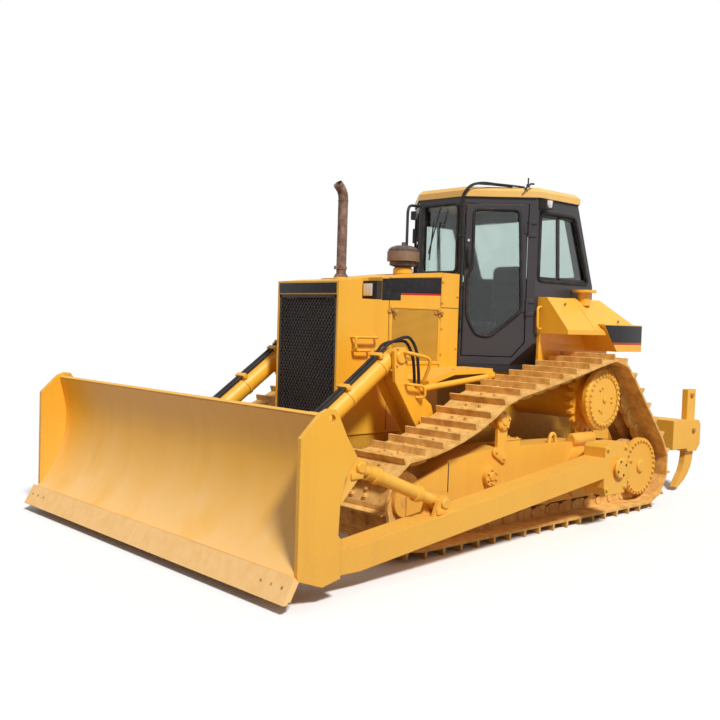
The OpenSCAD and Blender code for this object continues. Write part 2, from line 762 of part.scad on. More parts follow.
// Toothed wheels with their hub covers
module sprockets() {
    teeth = 23;
    tip = sprocket_r + link_h - 30;
    root = tip - 45;
    color(paint) both() {
        turned(sprocket_x, track_y, sprocket_z)
            polygon([[0, -side_in], [190, -side_in], [190, 105], [270, 115], [270, 150], [245, 170],
                [0, 170]]);
        across(track_y - 28, track_y + 28) translate([sprocket_x, sprocket_z])
            polygon([for (i = [0 : teeth - 1]) let (a = i * 360 / teeth, s = 360 / teeth)
                each [root * unit(a), root * unit(a + s * 0.3), tip * unit(a + s * 0.5),
                    tip * unit(a + s * 0.8)]]);
    }
}

// Platforms beside the cowl, each with a tie strut along its outer edge
module steps() {
    edge = hood_half + 340;
    strut_r = 25;
    color(paint) both() {
        across(hood_half, edge)
            polygon([[60, case_top], [60, case_top + 40], [550, case_top + 32], [860, case_top - 48],
                [860, case_top - 88],
                [550, case_top - 8]]);
        translate([990, edge + 12, case_top - 112]) rotate([0, -84.4, 0]) cylinder(r = strut_r, h = 880);
    }
}

module work_lamps() {
    color(black) both()
        block([-cab_corner_back - 110, cab_half, cab_top_z - 100],
            [-cab_corner_back - 10, cab_half + 80, cab_top_z - 15]);
}

// Rear bracket of the ripper
module ripper_bracket() {
    outline = [[case_rear, 480], [case_rear, 1240], [case_rear - 10, 1470], [case_rear - 170, 1470],
        [case_rear - 190, 1100],
        [case_rear - 190, 520], [case_rear - 120, 480]];
    color(paint) {
        both() {
            across(ripper_y - 90, ripper_y - 65) polygon(outline);
            across(ripper_y + 65, ripper_y + 90) polygon(outline);
            block([case_rear - 40, -ripper_y - 90, 480], [case_rear, ripper_y + 90, 1240]);
            for (p = [low_pivot, low_pivot + rise])
                bar(p[0], p[1], ripper_pin_r, ripper_y + 64, ripper_y + 155);
            bar(ripper_lift[0], ripper_lift[1], 30, ripper_y - 66, ripper_y + 66);
        }
    }
}

// Hollow-faced blade with the box behind it
module blade() {
    steps = 14;
    span = face_high - face_low;
    angles = [for (i = [0 : steps]) face_low + span * i / steps];
    color(paint) {
        across(-plate_y, plate_y)
            polygon(concat([for (a = angles) face_at(a, face_r)],
                [for (i = [0 : steps]) face_at(angles[steps - i], face_r + plate_t)]));
        across(-plate_y, plate_y)
            polygon([face_at(face_low, face_r + plate_t - 2), [blade_x - 300, edge_z + 55],
                [box_x, edge_z + 105], [box_x, edge_z + 335], [blade_x - 340, edge_z + 525],
                face_at(195, face_r + plate_t - 2), face_at(210, face_r + plate_t - 2)]);
        both() across(brace_y - 66, brace_y - 36) brace_lug();
        both() across(brace_y + 36, brace_y + 66) brace_lug();
        both() across(lift_y - 95, lift_y - 65) lift_ear();
        both() across(lift_y + 65, lift_y + 95) lift_ear();
    }
}

// Plates that close the ends of the blade, each with a lifting eye
module end_plates() {
    color(paint) both() difference() {
        across(plate_y, plate_y + plate_t) blade_end();
        bar(lift_eye[0], lift_eye[1], eye_r, plate_y - 10, plate_y + plate_t + 10);
    }
}

module blade_end() {
    polygon([for (p = [[-115, 101], [-110, 135], [-110, 915], [-250, 1050], [-310, 1075], [-365, 1070],
        [-400, 1025], [-461, 909], [-546, 784], [-508, 727], [-456, 654], [-422, 504], [-414, 327],
            [-439, 294],
        [-439, 65], [-300, 35]]) [blade_x + p[0], edge_z + p[1]]]);
}

module brace_lug() {
    polygon([[box_x + 90, edge_z + 465], [box_x + 60, edge_z + 765], brace_top + [0, 60],
        brace_top + [-55, 25],
        brace_top + [-55, -35], brace_top + [0, -60], [box_x, edge_z + 325]]);
}

module lift_ear() {
    polygon([[box_x + 40, edge_z + 165], lift_pin + [0, -75], lift_pin + [-65, -40], lift_pin + [-65, 40],
        lift_pin + [0, 75], [box_x + 80, edge_z + 505]]);
}

// The cutting edge, with thicker and lower corner bits
module cutting_edge() {
    y = plate_y + plate_t + bit_overhang;
    bit_w = 330;
    bit_more = 14;
    color(steel) {
        across(-y, y) polygon([[blade_x - 18, edge_z],
            face_at(face_low, face_r), face_at(face_low, face_r + plate_t),
            [blade_x - 52, edge_z]]);
        both() across(y - bit_w, y) polygon([[blade_x, edge_z - bit_more],
            face_at(face_low, face_r - bit_more),
            face_at(face_low, face_r + 1), [blade_x - 30, edge_z - bit_more]]);
    }
}

// Push arms outside the tracks, each with a squared bearing block round its trunnion
module push_arms() {
    back = trunnion_x - 140;
    front = trunnion_x + 210;
    color(paint) both() difference() {
        union() {
            across(arm_y, arm_y + arm_w) {
                polygon([[back, trunnion_z - 170], [back + 45, trunnion_z - 215],
                    [front - 30, trunnion_z - 215],
                    [front, trunnion_z - 150], [front, trunnion_z + 180], [front - 30, trunnion_z + 210],
                    [back + 45, trunnion_z + 210], [back, trunnion_z + 170]]);
                polygon([[trunnion_x, trunnion_z + 125], [trunnion_x, trunnion_z - 45],
                    [blade_x - 700, edge_z + 45], [box_x, edge_z + 45], [box_x, edge_z + 200],
                    [blade_x - 700, edge_z + 205]]);
            }
            for (y = [brace_y - 66, brace_y + 36]) across(y, y + 30)
                polygon([for (p = [[-120, -120], [120, -120], [55, 25], [25, 55], [-25, 55],
                    [-55, 25]]) brace_low + p]);
        }
        bar(trunnion_x, trunnion_z, trunnion_r + pin_gap, arm_y - 1, arm_y + arm_w + 1);
    }
}

// Braces between the push arms and the blade
module braces() {
    d = brace_top - brace_low;
    color(paint) both() {
        translate([brace_low[0], brace_y, brace_low[1]]) rotate([0, 90 - atan2(d[1], d[0]), 0]) {
            translate([0, 0, 40]) cylinder(r = 34, h = norm(d) - 80);
            translate([0, 0, 200]) cylinder(r = brace_r, h = norm(d) - 330);
        }
        bar(brace_low[0], brace_low[1], 52, brace_y - 36, brace_y + 36);
        bar(brace_top[0], brace_top[1], 52, brace_y - 36, brace_y + 36);
    }
}

// A piece laid along the left lift cylinder, s measured from its upper pivot
module along_lift() {
    translate([lift_x, lift_y, lift_z]) rotate([0, 90 - lift_angle, 0]) children();
}

module lift_barrels() {
    color(paint) both() difference() {
        union() {
            along_lift() translate([0, 0, 40]) cylinder(r = barrel_r, h = barrel_len - 40);
            bar(lift_x, lift_z, 68, lift_y - barrel_r - 4, lift_y + barrel_r + 4);
        }
        bar(lift_x, lift_z, lift_pin_r + pin_gap, lift_y - 200, lift_y + 200);
        along_lift() translate([0, 0, 110]) cylinder(r = barrel_r - 14, h = barrel_len - 170);
        along_lift() translate([0, 0, 200]) cylinder(r = rod_r + pin_gap, h = barrel_len);
    }
}

module lift_rods() {
    inner = 600;
    color(steel) both() {
        along_lift() translate([0, 0, inner]) cylinder(r = rod_r, h = lift_len - inner - 30);
        along_lift() translate([0, 0, inner]) cylinder(r = barrel_r - 14 - pin_gap, h = 80);
        bar(lift_pin[0], lift_pin[1], 62, lift_y - 50, lift_y + 50);
    }
}

// Left door and its glass
module door_leaf() {
    difference() {
        union() {
            on_door(-cab_wall, 0) door_outline(0);
            for (z = hinge_places) {
                hinge_bar(knuckle_r, z, z + knuckle_h);
                on_door(-1, 8) translate([hinge_u - 45, z]) square([39, knuckle_h]);
            }
        }
        on_door(-cab_wall - 1, 1) door_window();
        for (z = hinge_places) hinge_bar(hinge_pin_r + pin_gap, z - 1, z + knuckle_h + 1);
    }
}

module door_pane() {
    mid = (cab_wall - glass_t) / 2;
    on_door(-mid - glass_t, -mid) door_window();
}

module cab_door_left() {
    color(charcoal) door_leaf();
}

module cab_door_right() {
    color(charcoal) mirror([0, 1, 0]) door_leaf();
}

module door_glass_left() {
    color(clear) door_pane();
}

module door_glass_right() {
    color(clear) mirror([0, 1, 0]) door_pane();
}

// One ripper link from a front pin to a rear pin
module ripper_arm(p, q, y0, y1) {
    a = atan2(q[1] - p[1], q[0] - p[0]);
    difference() {
        across(y0, y1) {
            translate(p) circle(r = 75);
            translate(q) circle(r = 75);
            translate(p) rotate(a) translate([0, -60]) square([norm(q - p), 120]);
        }
        bar(p[0], p[1], ripper_pin_r + pin_gap, y0 - 1, y1 + 1);
        bar(q[0], q[1], ripper_pin_r + pin_gap, y0 - 1, y1 + 1);
    }
}

module ripper_lower_link() {
    y0 = ripper_y + 95;
    color(paint) {
        both() ripper_arm(low_pivot, low_end, y0, y0 + 55);
        web = low_end + [60, 0];
        block([web[0] - 45, -y0 - 5, web[1] - 55], [web[0] + 45, y0 + 5, web[1] + 55]);
        both() for (y = [ripper_y - 66, ripper_y + 46]) across(y, y + 20)
            polygon([web + [0, -50], ripper_eye + [0, -60], ripper_eye + [60, 0], ripper_eye + [0, 60],
                web + [0, 50]]);
    }
}

module ripper_upper_link() {
    y0 = ripper_y + 95;
    color(paint) both() ripper_arm(low_pivot + rise, low_end + rise, y0, y0 + 55);
}

module ripper_beam() {
    y0 = ripper_y + 155;
    color(paint) difference() {
        union() {
            block([pocket_x, -beam_w / 2, beam_low], [beam_front, beam_w / 2, beam_low + beam_h]);
            both() across(y0, y0 + 50)
                polygon([[beam_front - 150, beam_low], [low_end[0] + 70, low_end[1] - 60],
                    [low_end[0] + 75, low_end[1] + 60],
                    [low_end[0] + 70, low_end[1] + link_rise + 60],
                        [low_end[0] - 70, low_end[1] + link_rise + 75],
                    [beam_front - 200, beam_low + beam_h]]);
            for (p = [low_end, low_end + rise]) both() bar(p[0], p[1], ripper_pin_r, y0 - 54, y0 + 1);
            for (y = shank_places) across(y - shank_t / 2 - 35, y + shank_t / 2 + 35)
                polygon([[pocket_x + 1, beam_low + 10], [pocket_x - 50, beam_low - 40],
                    [shank_x - shank_d, beam_low - 40],
                    [pocket_x - pocket_len, beam_low + 30], [pocket_x - pocket_len, beam_low + beam_h - 60],
                    [pocket_x - pocket_len + 40, beam_low + beam_h - 15],
                        [pocket_x + 1, beam_low + beam_h - 15]]);
        }
        for (y = shank_places)
            block([shank_x - shank_d, y - shank_t / 2 - 1, 0], [shank_x, y + shank_t / 2 + 1, 2000]);
    }
}

// Shanks curved forward to their points
module ripper_shanks() {
    x = shank_x;
    color(paint) for (y = shank_places) across(y - shank_t / 2, y + shank_t / 2)
        polygon([[x, 1050], [x - shank_d, 1050], [x - shank_d, 420], [x - 160, 330], [x - 130, 240],
            [x - 80, 170],
            [x, 100], [x + 90, tip_z + 20], [x + 150, tip_z], [x + 185, tip_z + 8], [x + 130, 110],
                [x + 60, 190],
            [x + 20, 270], [x, 350]]);
}

// A piece laid along the left ripper cylinder
module along_ripper() {
    translate([ripper_lift[0], ripper_y, ripper_lift[1]]) rotate([0, 90 - ripper_angle, 0]) children();
}

module ripper_barrels() {
    color(paint) both() difference() {
        union() {
            along_ripper() translate([0, 0, 35]) cylinder(r = 58, h = 490);
            bar(ripper_lift[0], ripper_lift[1], 55, ripper_y - 62, ripper_y + 62);
        }
        bar(ripper_lift[0], ripper_lift[1], 30 + pin_gap, ripper_y - 100, ripper_y + 100);
        along_ripper() translate([0, 0, 75]) cylinder(r = 46, h = 400);
        along_ripper() translate([0, 0, 100]) cylinder(r = 32 + pin_gap, h = 600);
    }
}

module ripper_rods() {
    color(steel) both() {
        along_ripper() translate([0, 0, 370]) cylinder(r = 32, h = ripper_len - 390);
        bar(ripper_eye[0], ripper_eye[1], 45, ripper_y - 40, ripper_y + 40);
    }
}

main_frame();
engine();
radiator_guard();
radiator_core();
grille();
hood();
engine_panels();
cowl();
exhaust_stack();
precleaner();
headlamps();
lift_brackets();
cab_floor();
cab_frame();
cab_roof();
cab_glass();
seat();
consoles();
side_tanks();
rear_tank();
track_frames();
track_left();
track_right();
sprockets();
rollers();
steps();
work_lamps();
ripper_bracket();
blade();
end_plates();
cutting_edge();
push_arms();
braces();
lift_barrels();
lift_rods();
cab_door_left();
cab_door_right();
door_glass_left();
door_glass_right();
ripper_lower_link();
ripper_beam();
ripper_shanks();
ripper_upper_link();
ripper_barrels();
ripper_rods();
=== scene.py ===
"""Looks of a crawler bulldozer: studio, camera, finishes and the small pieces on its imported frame."""
import json
import math

import bmesh
import bpy
from mathutils import Matrix, Vector, noise


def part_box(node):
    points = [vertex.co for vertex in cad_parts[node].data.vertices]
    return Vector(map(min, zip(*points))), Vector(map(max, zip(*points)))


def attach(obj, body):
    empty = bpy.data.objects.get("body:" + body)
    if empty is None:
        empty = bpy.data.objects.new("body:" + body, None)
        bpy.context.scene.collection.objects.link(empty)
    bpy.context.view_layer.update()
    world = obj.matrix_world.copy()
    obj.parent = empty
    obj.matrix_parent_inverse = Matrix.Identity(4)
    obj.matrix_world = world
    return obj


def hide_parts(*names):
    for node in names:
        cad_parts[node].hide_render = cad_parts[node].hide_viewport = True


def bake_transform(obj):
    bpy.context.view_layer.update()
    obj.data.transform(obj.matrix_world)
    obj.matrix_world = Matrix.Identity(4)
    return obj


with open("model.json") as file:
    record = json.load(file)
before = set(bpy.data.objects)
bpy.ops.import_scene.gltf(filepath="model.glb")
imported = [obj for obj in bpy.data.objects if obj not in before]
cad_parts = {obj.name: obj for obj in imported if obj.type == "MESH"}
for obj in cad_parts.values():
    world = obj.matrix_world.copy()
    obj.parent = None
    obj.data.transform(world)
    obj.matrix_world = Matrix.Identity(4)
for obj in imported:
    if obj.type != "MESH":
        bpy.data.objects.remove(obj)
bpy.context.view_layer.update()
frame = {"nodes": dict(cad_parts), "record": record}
nodes = frame["nodes"]
scene = bpy.context.scene
scene.view_settings.view_transform = "Standard"


def linear(code):
    """An sRGB hex colour as linear RGBA."""
    parts = [int(code[i:i + 2], 16) / 255 for i in (1, 3, 5)]
    return [c / 12.92 if c <= 0.04045 else ((c + 0.055) / 1.055) ** 2.4 for c in parts] + [1.0]


def feed(tree, node, inputs):
    """Fills a node's inputs with values, sockets or nodes; a node gives its first output and
    a colour mix its third."""
    for name, value in inputs.items():
        if isinstance(value, bpy.types.Node):
            value = value.outputs[2 if value.bl_idname == "ShaderNodeMix" else 0]
        if isinstance(value, bpy.types.NodeSocket):
            tree.links.new(value, node.inputs[name])
        else:
            node.inputs[name].default_value = value


def add(tree, kind, inputs=None, **settings):
    """A shader node with its settings and what feeds it."""
    node = tree.nodes.new("ShaderNode" + kind)
    for name, value in settings.items():
        setattr(node, name, value)
    feed(tree, node, inputs or {})
    return node


# Camera: the photograph's eye, 1.67 m up and 8.5 m from the machine's middle, off its front left corner
def look_through():
    azimuth, elevation, roll = (math.radians(a) for a in (47.15, 2.45, 1.77))
    back = Vector((math.cos(azimuth) * math.cos(elevation), math.sin(azimuth) * math.cos(elevation),
                   math.sin(elevation)))
    right = (-back).cross(Vector((0, 0, 1))).normalized()
    up = right.cross(-back)
    tilted = math.cos(roll) * right + math.sin(roll) * up
    upright = -math.sin(roll) * right + math.cos(roll) * up
    eye = bpy.data.cameras.new("photo_eye")
    eye.sensor_width, eye.lens = 36, 46
    camera = bpy.data.objects.new("photo_eye", eye)
    scene.collection.objects.link(camera)
    camera.matrix_world = Matrix.Translation((6.256, 5.72, 1.665)) @ Matrix(
        (tilted, upright, back)).transposed().to_4x4()
    scene.camera = camera


look_through()


# Studio: a high soft key over the left side, an even sky and a pale floor
def looked_at(tree):
    """1 where a ray looks straight, off a mirror or through glass, and 0 where it only gathers light."""
    path = add(tree, "LightPath")
    seen = add(tree, "Math", {0: path.outputs["Is Camera Ray"], 1: path.outputs["Is Glossy Ray"]},
               operation="MAXIMUM")
    return add(tree, "Math", {0: seen, 1: path.outputs["Is Transmission Ray"]},
               operation="MAXIMUM")


def light_studio():
    key = bpy.data.lights.new("key", "SUN")
    key.energy, key.angle = 3.45, math.radians(9)
    lamp = bpy.data.objects.new("key", key)
    scene.collection.objects.link(lamp)
    lamp.rotation_mode = "QUATERNION"
    lamp.rotation_quaternion = Vector((0.25, 0.72, 0.86)).to_track_quat("Z", "Y")
    world = bpy.data.worlds.new("studio")
    scene.world = world
    world.use_nodes = True
    tree = world.node_tree
    tree.nodes.clear()
    sky = add(tree, "Background", {"Color": linear("#E8EEF5"), "Strength": 0.33})
    white = add(tree, "Background", {"Color": (1, 1, 1, 1), "Strength": 1.0})
    shown = add(tree, "MixShader", {0: looked_at(tree), 1: sky, 2: white})
    add(tree, "OutputWorld", {"Surface": shown})
    shape = bmesh.new()
    bmesh.ops.create_circle(shape, cap_ends=True, segments=96, radius=60)
    ground = bpy.data.meshes.new("floor")
    shape.to_mesh(ground)
    floor = bpy.data.objects.new("floor", ground)
    scene.collection.objects.link(floor)
    floor.location.z = -0.001
    paper = bpy.data.materials.new("pale_floor")
    paper.use_nodes = True
    tree = paper.node_tree
    shader = tree.nodes["Principled BSDF"]
    # pale where it is looked at, but it throws back only as much light as dry earth does
    colour = add(tree, "Mix", {0: looked_at(tree), 6: linear("#A3917B"), 7: linear("#F7F7F6")},
                 data_type="RGBA")
    feed(tree, shader, {"Base Color": colour, "Roughness": 0.9, "Specular IOR Level": 0.1})
    ground.materials.append(paper)


light_studio()


# Finishes
def begin(name, roughness, metallic=0.0):
    """A new finish, its tree and shader, and the place on the object that its patterns follow."""
    material = bpy.data.materials.new(name)
    material.use_nodes = True
    tree = material.node_tree
    shader = tree.nodes["Principled BSDF"]
    feed(tree, shader, {"Roughness": roughness, "Metallic": metallic})
    return material, tree, shader, add(tree, "TexCoord").outputs["Object"]


def rubbed_edges(tree, reach, first, full, most=1.0):
    """How rubbed a point is, from how the normal turns near an edge, and that softened normal."""
    normal = add(tree, "NewGeometry").outputs["Normal"]
    soft = add(tree, "Bevel", {"Radius": reach}, samples=4)
    turn = add(tree, "VectorMath", {0: soft, 1: normal}, operation="DOT_PRODUCT")
    edge = add(tree, "MapRange", {"Value": turn.outputs["Value"], "From Min": first, "From Max": full,
                                  "To Max": most})
    return edge, soft


def yellow_enamel(name, low_dust_and_painted_shade, rubbed_and_painted_highlight=0.0, soil="#CDA163", fresh="#EFAA22", faded="#F4BA3C"):
    """Alkyd enamel sprayed on steel plate. The eye sees a soft gloss with sun-faded patches, faint runs of
    dirty rain, tan dust that settles on ledges and near the ground, and thin worn paint along the edges. With
    a dark soil and heavy low dust, the same mask is also painted shade low on the frame; on the blade the
    pale rubbed tongues low down are wear and painted highlight at once."""
    material, tree, shader, at = begin(name, 0.42)
    geometry = add(tree, "NewGeometry")
    fade = add(tree, "TexNoise", {"Vector": at, "Scale": 1 / 0.55, "Detail": 4.0})
    coat = add(tree, "Mix", {0: fade, 6: linear(fresh), 7: linear(faded)}, data_type="RGBA")
    # rain runs about 110 mm apart and over a metre long
    drawn = add(tree, "Mapping", {"Vector": at, "Scale": (9, 9, 0.7)})
    runs = add(tree, "TexNoise", {"Vector": drawn, "Scale": 1.0, "Detail": 3.0})
    runs = add(tree, "MapRange", {"Value": runs, "From Min": 0.5, "From Max": 0.78, "To Max": 0.16})
    coat = add(tree, "Mix", {0: runs, 6: coat, 7: linear("#BE7F22")}, data_type="RGBA")
    height = add(tree, "SeparateXYZ", {0: at})
    if rubbed_and_painted_highlight:
        # soil slides up the blade and rubs the paint pale in soft upright tongues 250 mm wide, palest low
        # down; this paleness low on the blade is also a painted highlight, standing for the light on the face
        # where it turns up
        streak = add(tree, "Mapping", {"Vector": at, "Scale": (4, 4, 1.6)})
        streak = add(tree, "TexNoise", {"Vector": streak, "Scale": 1.0, "Detail": 4.0})
        reach = add(tree, "MapRange", {"Value": height.outputs["Z"], "From Min": 0.95, "From Max": 0.15})
        rub_and_painted_highlight = add(tree, "Math", {0: streak, 1: reach}, operation="MULTIPLY")
        rub_and_painted_highlight = add(tree, "MapRange", {"Value": rub_and_painted_highlight, "From Min": 0.1, "From Max": 0.46, "To Max": rubbed_and_painted_highlight})
        coat = add(tree, "Mix", {0: rub_and_painted_highlight, 6: coat, 7: linear("#F8C67C")}, data_type="RGBA")
    # dust grains drawn at 25 mm clumps, since single grains are too fine to show
    grit = add(tree, "TexNoise", {"Vector": at, "Scale": 1 / 0.025, "Detail": 6.0, "Roughness": 0.7})
    facing_up = add(tree, "SeparateXYZ", {0: geometry.outputs["Normal"]})
    ledge = add(tree, "MapRange", {"Value": facing_up.outputs["Z"], "From Min": 0.4, "From Max": 1.0,
                                   "To Max": 0.6})
    low = add(tree, "MapRange", {"Value": height.outputs["Z"], "From Min": 1.15, "From Max": 0.1,
                                 "To Max": low_dust_and_painted_shade})
    dust_and_painted_shade = add(tree, "Math", {0: ledge, 1: low}, operation="MAXIMUM")
    dust_and_painted_shade = add(tree, "Math", {0: dust_and_painted_shade, 1: grit}, operation="MULTIPLY")
    coat = add(tree, "Mix", {0: dust_and_painted_shade, 6: coat, 7: linear(soil)}, data_type="RGBA")
    # paint thins over the last 6 mm before an edge and chips in 15 mm spots
    edge, soft_edge = rubbed_edges(tree, 0.006, 0.99, 0.86)
    chip = add(tree, "TexNoise", {"Vector": at, "Scale": 1 / 0.015, "Detail": 3.0})
    chip = add(tree, "MapRange", {"Value": chip, "From Min": 0.48, "From Max": 0.62})
    worn = add(tree, "Math", {0: edge, 1: chip}, operation="MULTIPLY")
    worn = add(tree, "Math", {0: worn, 1: 0.6}, operation="MULTIPLY")
    coat = add(tree, "Mix", {0: worn, 6: coat, 7: linear("#94692E")}, data_type="RGBA")
    feed(tree, shader, {"Base Color": coat})
    gloss = add(tree, "MapRange", {"Value": dust_and_painted_shade, "From Max": 0.5, "To Min": 0.36, "To Max": 0.8})
    feed(tree, shader, {"Roughness": gloss})
    # orange peel, drawn at 12 mm because the real 2 mm is too fine to show
    peel = add(tree, "TexNoise", {"Vector": at, "Scale": 1 / 0.012, "Detail": 1.0})
    bump = add(tree, "Bump", {"Height": peel, "Strength": 0.12, "Distance": 0.002, "Normal": soft_edge})
    feed(tree, shader, {"Normal": bump})
    return material


def satin_coat(name, colour, dusty, roughness=0.42):
    """Satin coat on sheet steel, baked dry. The eye sees an even dark colour with a fine stipple and a thin
    brown film of dust in patches."""
    material, tree, shader, at = begin(name, roughness)
    feed(tree, shader, {"Specular IOR Level": 0.35})
    cloud = add(tree, "TexNoise", {"Vector": at, "Scale": 1 / 0.35, "Detail": 4.0})
    cloud = add(tree, "MapRange", {"Value": cloud, "From Min": 0.35, "From Max": 0.8, "To Max": 0.45})
    coat = add(tree, "Mix", {0: cloud, 6: linear(colour), 7: linear(dusty)}, data_type="RGBA")
    feed(tree, shader, {"Base Color": coat})
    # stipple drawn at 8 mm, because the real 1 mm is too fine to show
    stipple = add(tree, "TexNoise", {"Vector": at, "Scale": 1 / 0.008, "Detail": 2.0})
    soft_edge = add(tree, "Bevel", {"Radius": 0.006}, samples=4)
    bump = add(tree, "Bump", {"Height": stipple, "Strength": 0.15, "Distance": 0.002, "Normal": soft_edge})
    feed(tree, shader, {"Normal": bump})
    return material


def earthy_steel(name, soil, shade, bare, shine):
    """Forged and rolled steel that works in the soil. The eye sees dried tan soil in patches over brown
    steel, and bright metal where edges and treads are rubbed. On the blade's cutting edge the pale peach
    colours are painted highlight, brighter than its yellow paint."""
    material, tree, shader, at = begin(name, 0.75)
    patch = add(tree, "TexNoise", {"Vector": at, "Scale": 1 / 0.09, "Detail": 6.0, "Roughness": 0.65})
    patch = add(tree, "MapRange", {"Value": patch, "From Min": 0.38, "From Max": 0.6})
    coat = add(tree, "Mix", {0: patch, 6: linear(shade), 7: linear(soil)}, data_type="RGBA")
    edge, soft_edge = rubbed_edges(tree, 0.005, 0.985, 0.85, shine)
    coat = add(tree, "Mix", {0: edge, 6: coat, 7: linear(bare)}, data_type="RGBA")
    feed(tree, shader, {"Base Color": coat, "Metallic": edge})
    # soil crumbs about 14 mm across
    crumb = add(tree, "TexNoise", {"Vector": at, "Scale": 1 / 0.014, "Detail": 5.0, "Roughness": 0.7})
    bump = add(tree, "Bump", {"Height": crumb, "Strength": 0.35, "Distance": 0.004, "Normal": soft_edge})
    feed(tree, shader, {"Normal": bump})
    return material


def scaled_pipe():
    """Mild steel pipe, scaled by heat and weather. The eye sees brown rust with paler bloom and dark scale
    spots."""
    material, tree, shader, at = begin("scaled_pipe", 0.78, 0.15)
    bloom = add(tree, "TexNoise", {"Vector": at, "Scale": 1 / 0.06, "Detail": 6.0, "Roughness": 0.65})
    rust = add(tree, "ValToRGB", {0: bloom})
    for place, code in ((0.3, "#47372F"), (0.46, "#77594A"), (0.6, "#937767"), (0.76, "#AC9684")):
        stop = rust.color_ramp.elements.new(place)
        stop.color = linear(code)
    feed(tree, shader, {"Base Color": rust})
    bump = add(tree, "Bump", {"Height": bloom, "Strength": 0.35, "Distance": 0.003})
    feed(tree, shader, {"Normal": bump})
    return material


def bowl_moulding():
    """Rotation-moulded polyethylene. The eye sees a waxy dark cap, a dusty brown band and a black lower ring,
    told apart by height."""
    material, tree, shader, at = begin("bowl_moulding", 0.55)
    height = add(tree, "SeparateXYZ", {0: at})
    level = add(tree, "MapRange", {"Value": height.outputs["Z"], "From Min": 2.1, "From Max": 2.34})
    bands = add(tree, "ValToRGB", {0: level})
    bands.color_ramp.interpolation = "CONSTANT"
    bands.color_ramp.elements[0].color = linear("#2B2626")
    bands.color_ramp.elements[1].position = 0.375
    bands.color_ramp.elements[1].color = linear("#7E624C")
    bands.color_ramp.elements.new(0.715).color = linear("#453A35")
    mottle = add(tree, "TexNoise", {"Vector": at, "Scale": 1 / 0.04, "Detail": 5.0})
    mottle = add(tree, "MapRange", {"Value": mottle, "From Min": 0.4, "From Max": 0.75, "To Max": 0.35})
    coat = add(tree, "Mix", {0: mottle, 6: bands, 7: linear("#A58462")}, data_type="RGBA")
    feed(tree, shader, {"Base Color": coat})
    return material


def grained_plastic(name, colour, roughness=0.55):
    """Injection-moulded ABS or rubber. The eye sees a dull black with a leathery grain and a little dust."""
    material, tree, shader, at = begin(name, roughness)
    feed(tree, shader, {"Specular IOR Level": 0.3})
    # grain drawn at 5 mm, because the real 0.8 mm is too fine to show
    grain = add(tree, "TexVoronoi", {"Vector": at, "Scale": 1 / 0.005})
    film = add(tree, "TexNoise", {"Vector": at, "Scale": 1 / 0.12, "Detail": 4.0})
    film = add(tree, "MapRange", {"Value": film, "From Min": 0.45, "From Max": 0.8, "To Max": 0.3})
    coat = add(tree, "Mix", {0: film, 6: linear(colour), 7: linear("#6B5D4E")}, data_type="RGBA")
    feed(tree, shader, {"Base Color": coat})
    bump = add(tree, "Bump", {"Height": grain.outputs["Distance"], "Strength": 0.2, "Distance": 0.001})
    feed(tree, shader, {"Normal": bump})
    return material


def tempered_glass():
    """Tempered soda-lime glass, float-made, lightly tinted. The eye sees a clear grey-green pane with a thin
    film of dust that dulls it in patches."""
    material, tree, shader, at = begin("tempered_glass", 0.03)
    feed(tree, shader, {"Transmission Weight": 1.0, "IOR": 1.5})
    film = add(tree, "TexNoise", {"Vector": at, "Scale": 1 / 0.25, "Detail": 5.0})
    haze = add(tree, "MapRange", {"Value": film, "From Min": 0.35, "From Max": 0.75,
                                  "To Min": 0.02, "To Max": 0.12})
    feed(tree, shader, {"Roughness": haze})
    tint = add(tree, "Mix", {0: film, 6: linear("#D3E1DF"), 7: linear("#DCE5E0")}, data_type="RGBA")
    feed(tree, shader, {"Base Color": tint})
    return material


def chromed_rod():
    """Steel rod, hard-chromed and ground. The eye sees a clear mirror that a film of dust dulls in
    patches."""
    material, tree, shader, at = begin("chromed_rod", 0.14, 1.0)
    film = add(tree, "TexNoise", {"Vector": at, "Scale": 1 / 0.05, "Detail": 5.0})
    haze = add(tree, "MapRange", {"Value": film, "From Min": 0.4, "From Max": 0.8, "To Min": 0.1,
                                  "To Max": 0.45})
    feed(tree, shader, {"Roughness": haze})
    tint = add(tree, "Mix", {0: film, 6: linear("#D9D6D0"), 7: linear("#B59E78")}, data_type="RGBA")
    feed(tree, shader, {"Base Color": tint})
    return material


def woven_seat():
    """Polyester seat cloth in a plain weave. The eye sees a dark, soft cloth with a crossed thread and a
    faint sheen; the thread is drawn 6 mm wide, because the real 1 mm is too fine to show."""
    material, tree, shader, at = begin("woven_seat", 0.9)
    feed(tree, shader, {"Sheen Weight": 0.3})
    warp = add(tree, "TexWave", {"Vector": at, "Scale": 26.0}, bands_direction="Y")
    weft = add(tree, "TexWave", {"Vector": at, "Scale": 26.0}, bands_direction="Z")
    cross = add(tree, "Math", {0: warp.outputs["Fac"], 1: weft.outputs["Fac"]}, operation="MULTIPLY")
    coat = add(tree, "Mix", {0: cross, 6: linear("#26262A"), 7: linear("#4A4A50")}, data_type="RGBA")
    feed(tree, shader, {"Base Color": coat})
    bump = add(tree, "Bump", {"Height": cross, "Strength": 0.4, "Distance": 0.002})
    feed(tree, shader, {"Normal": bump})
    return material


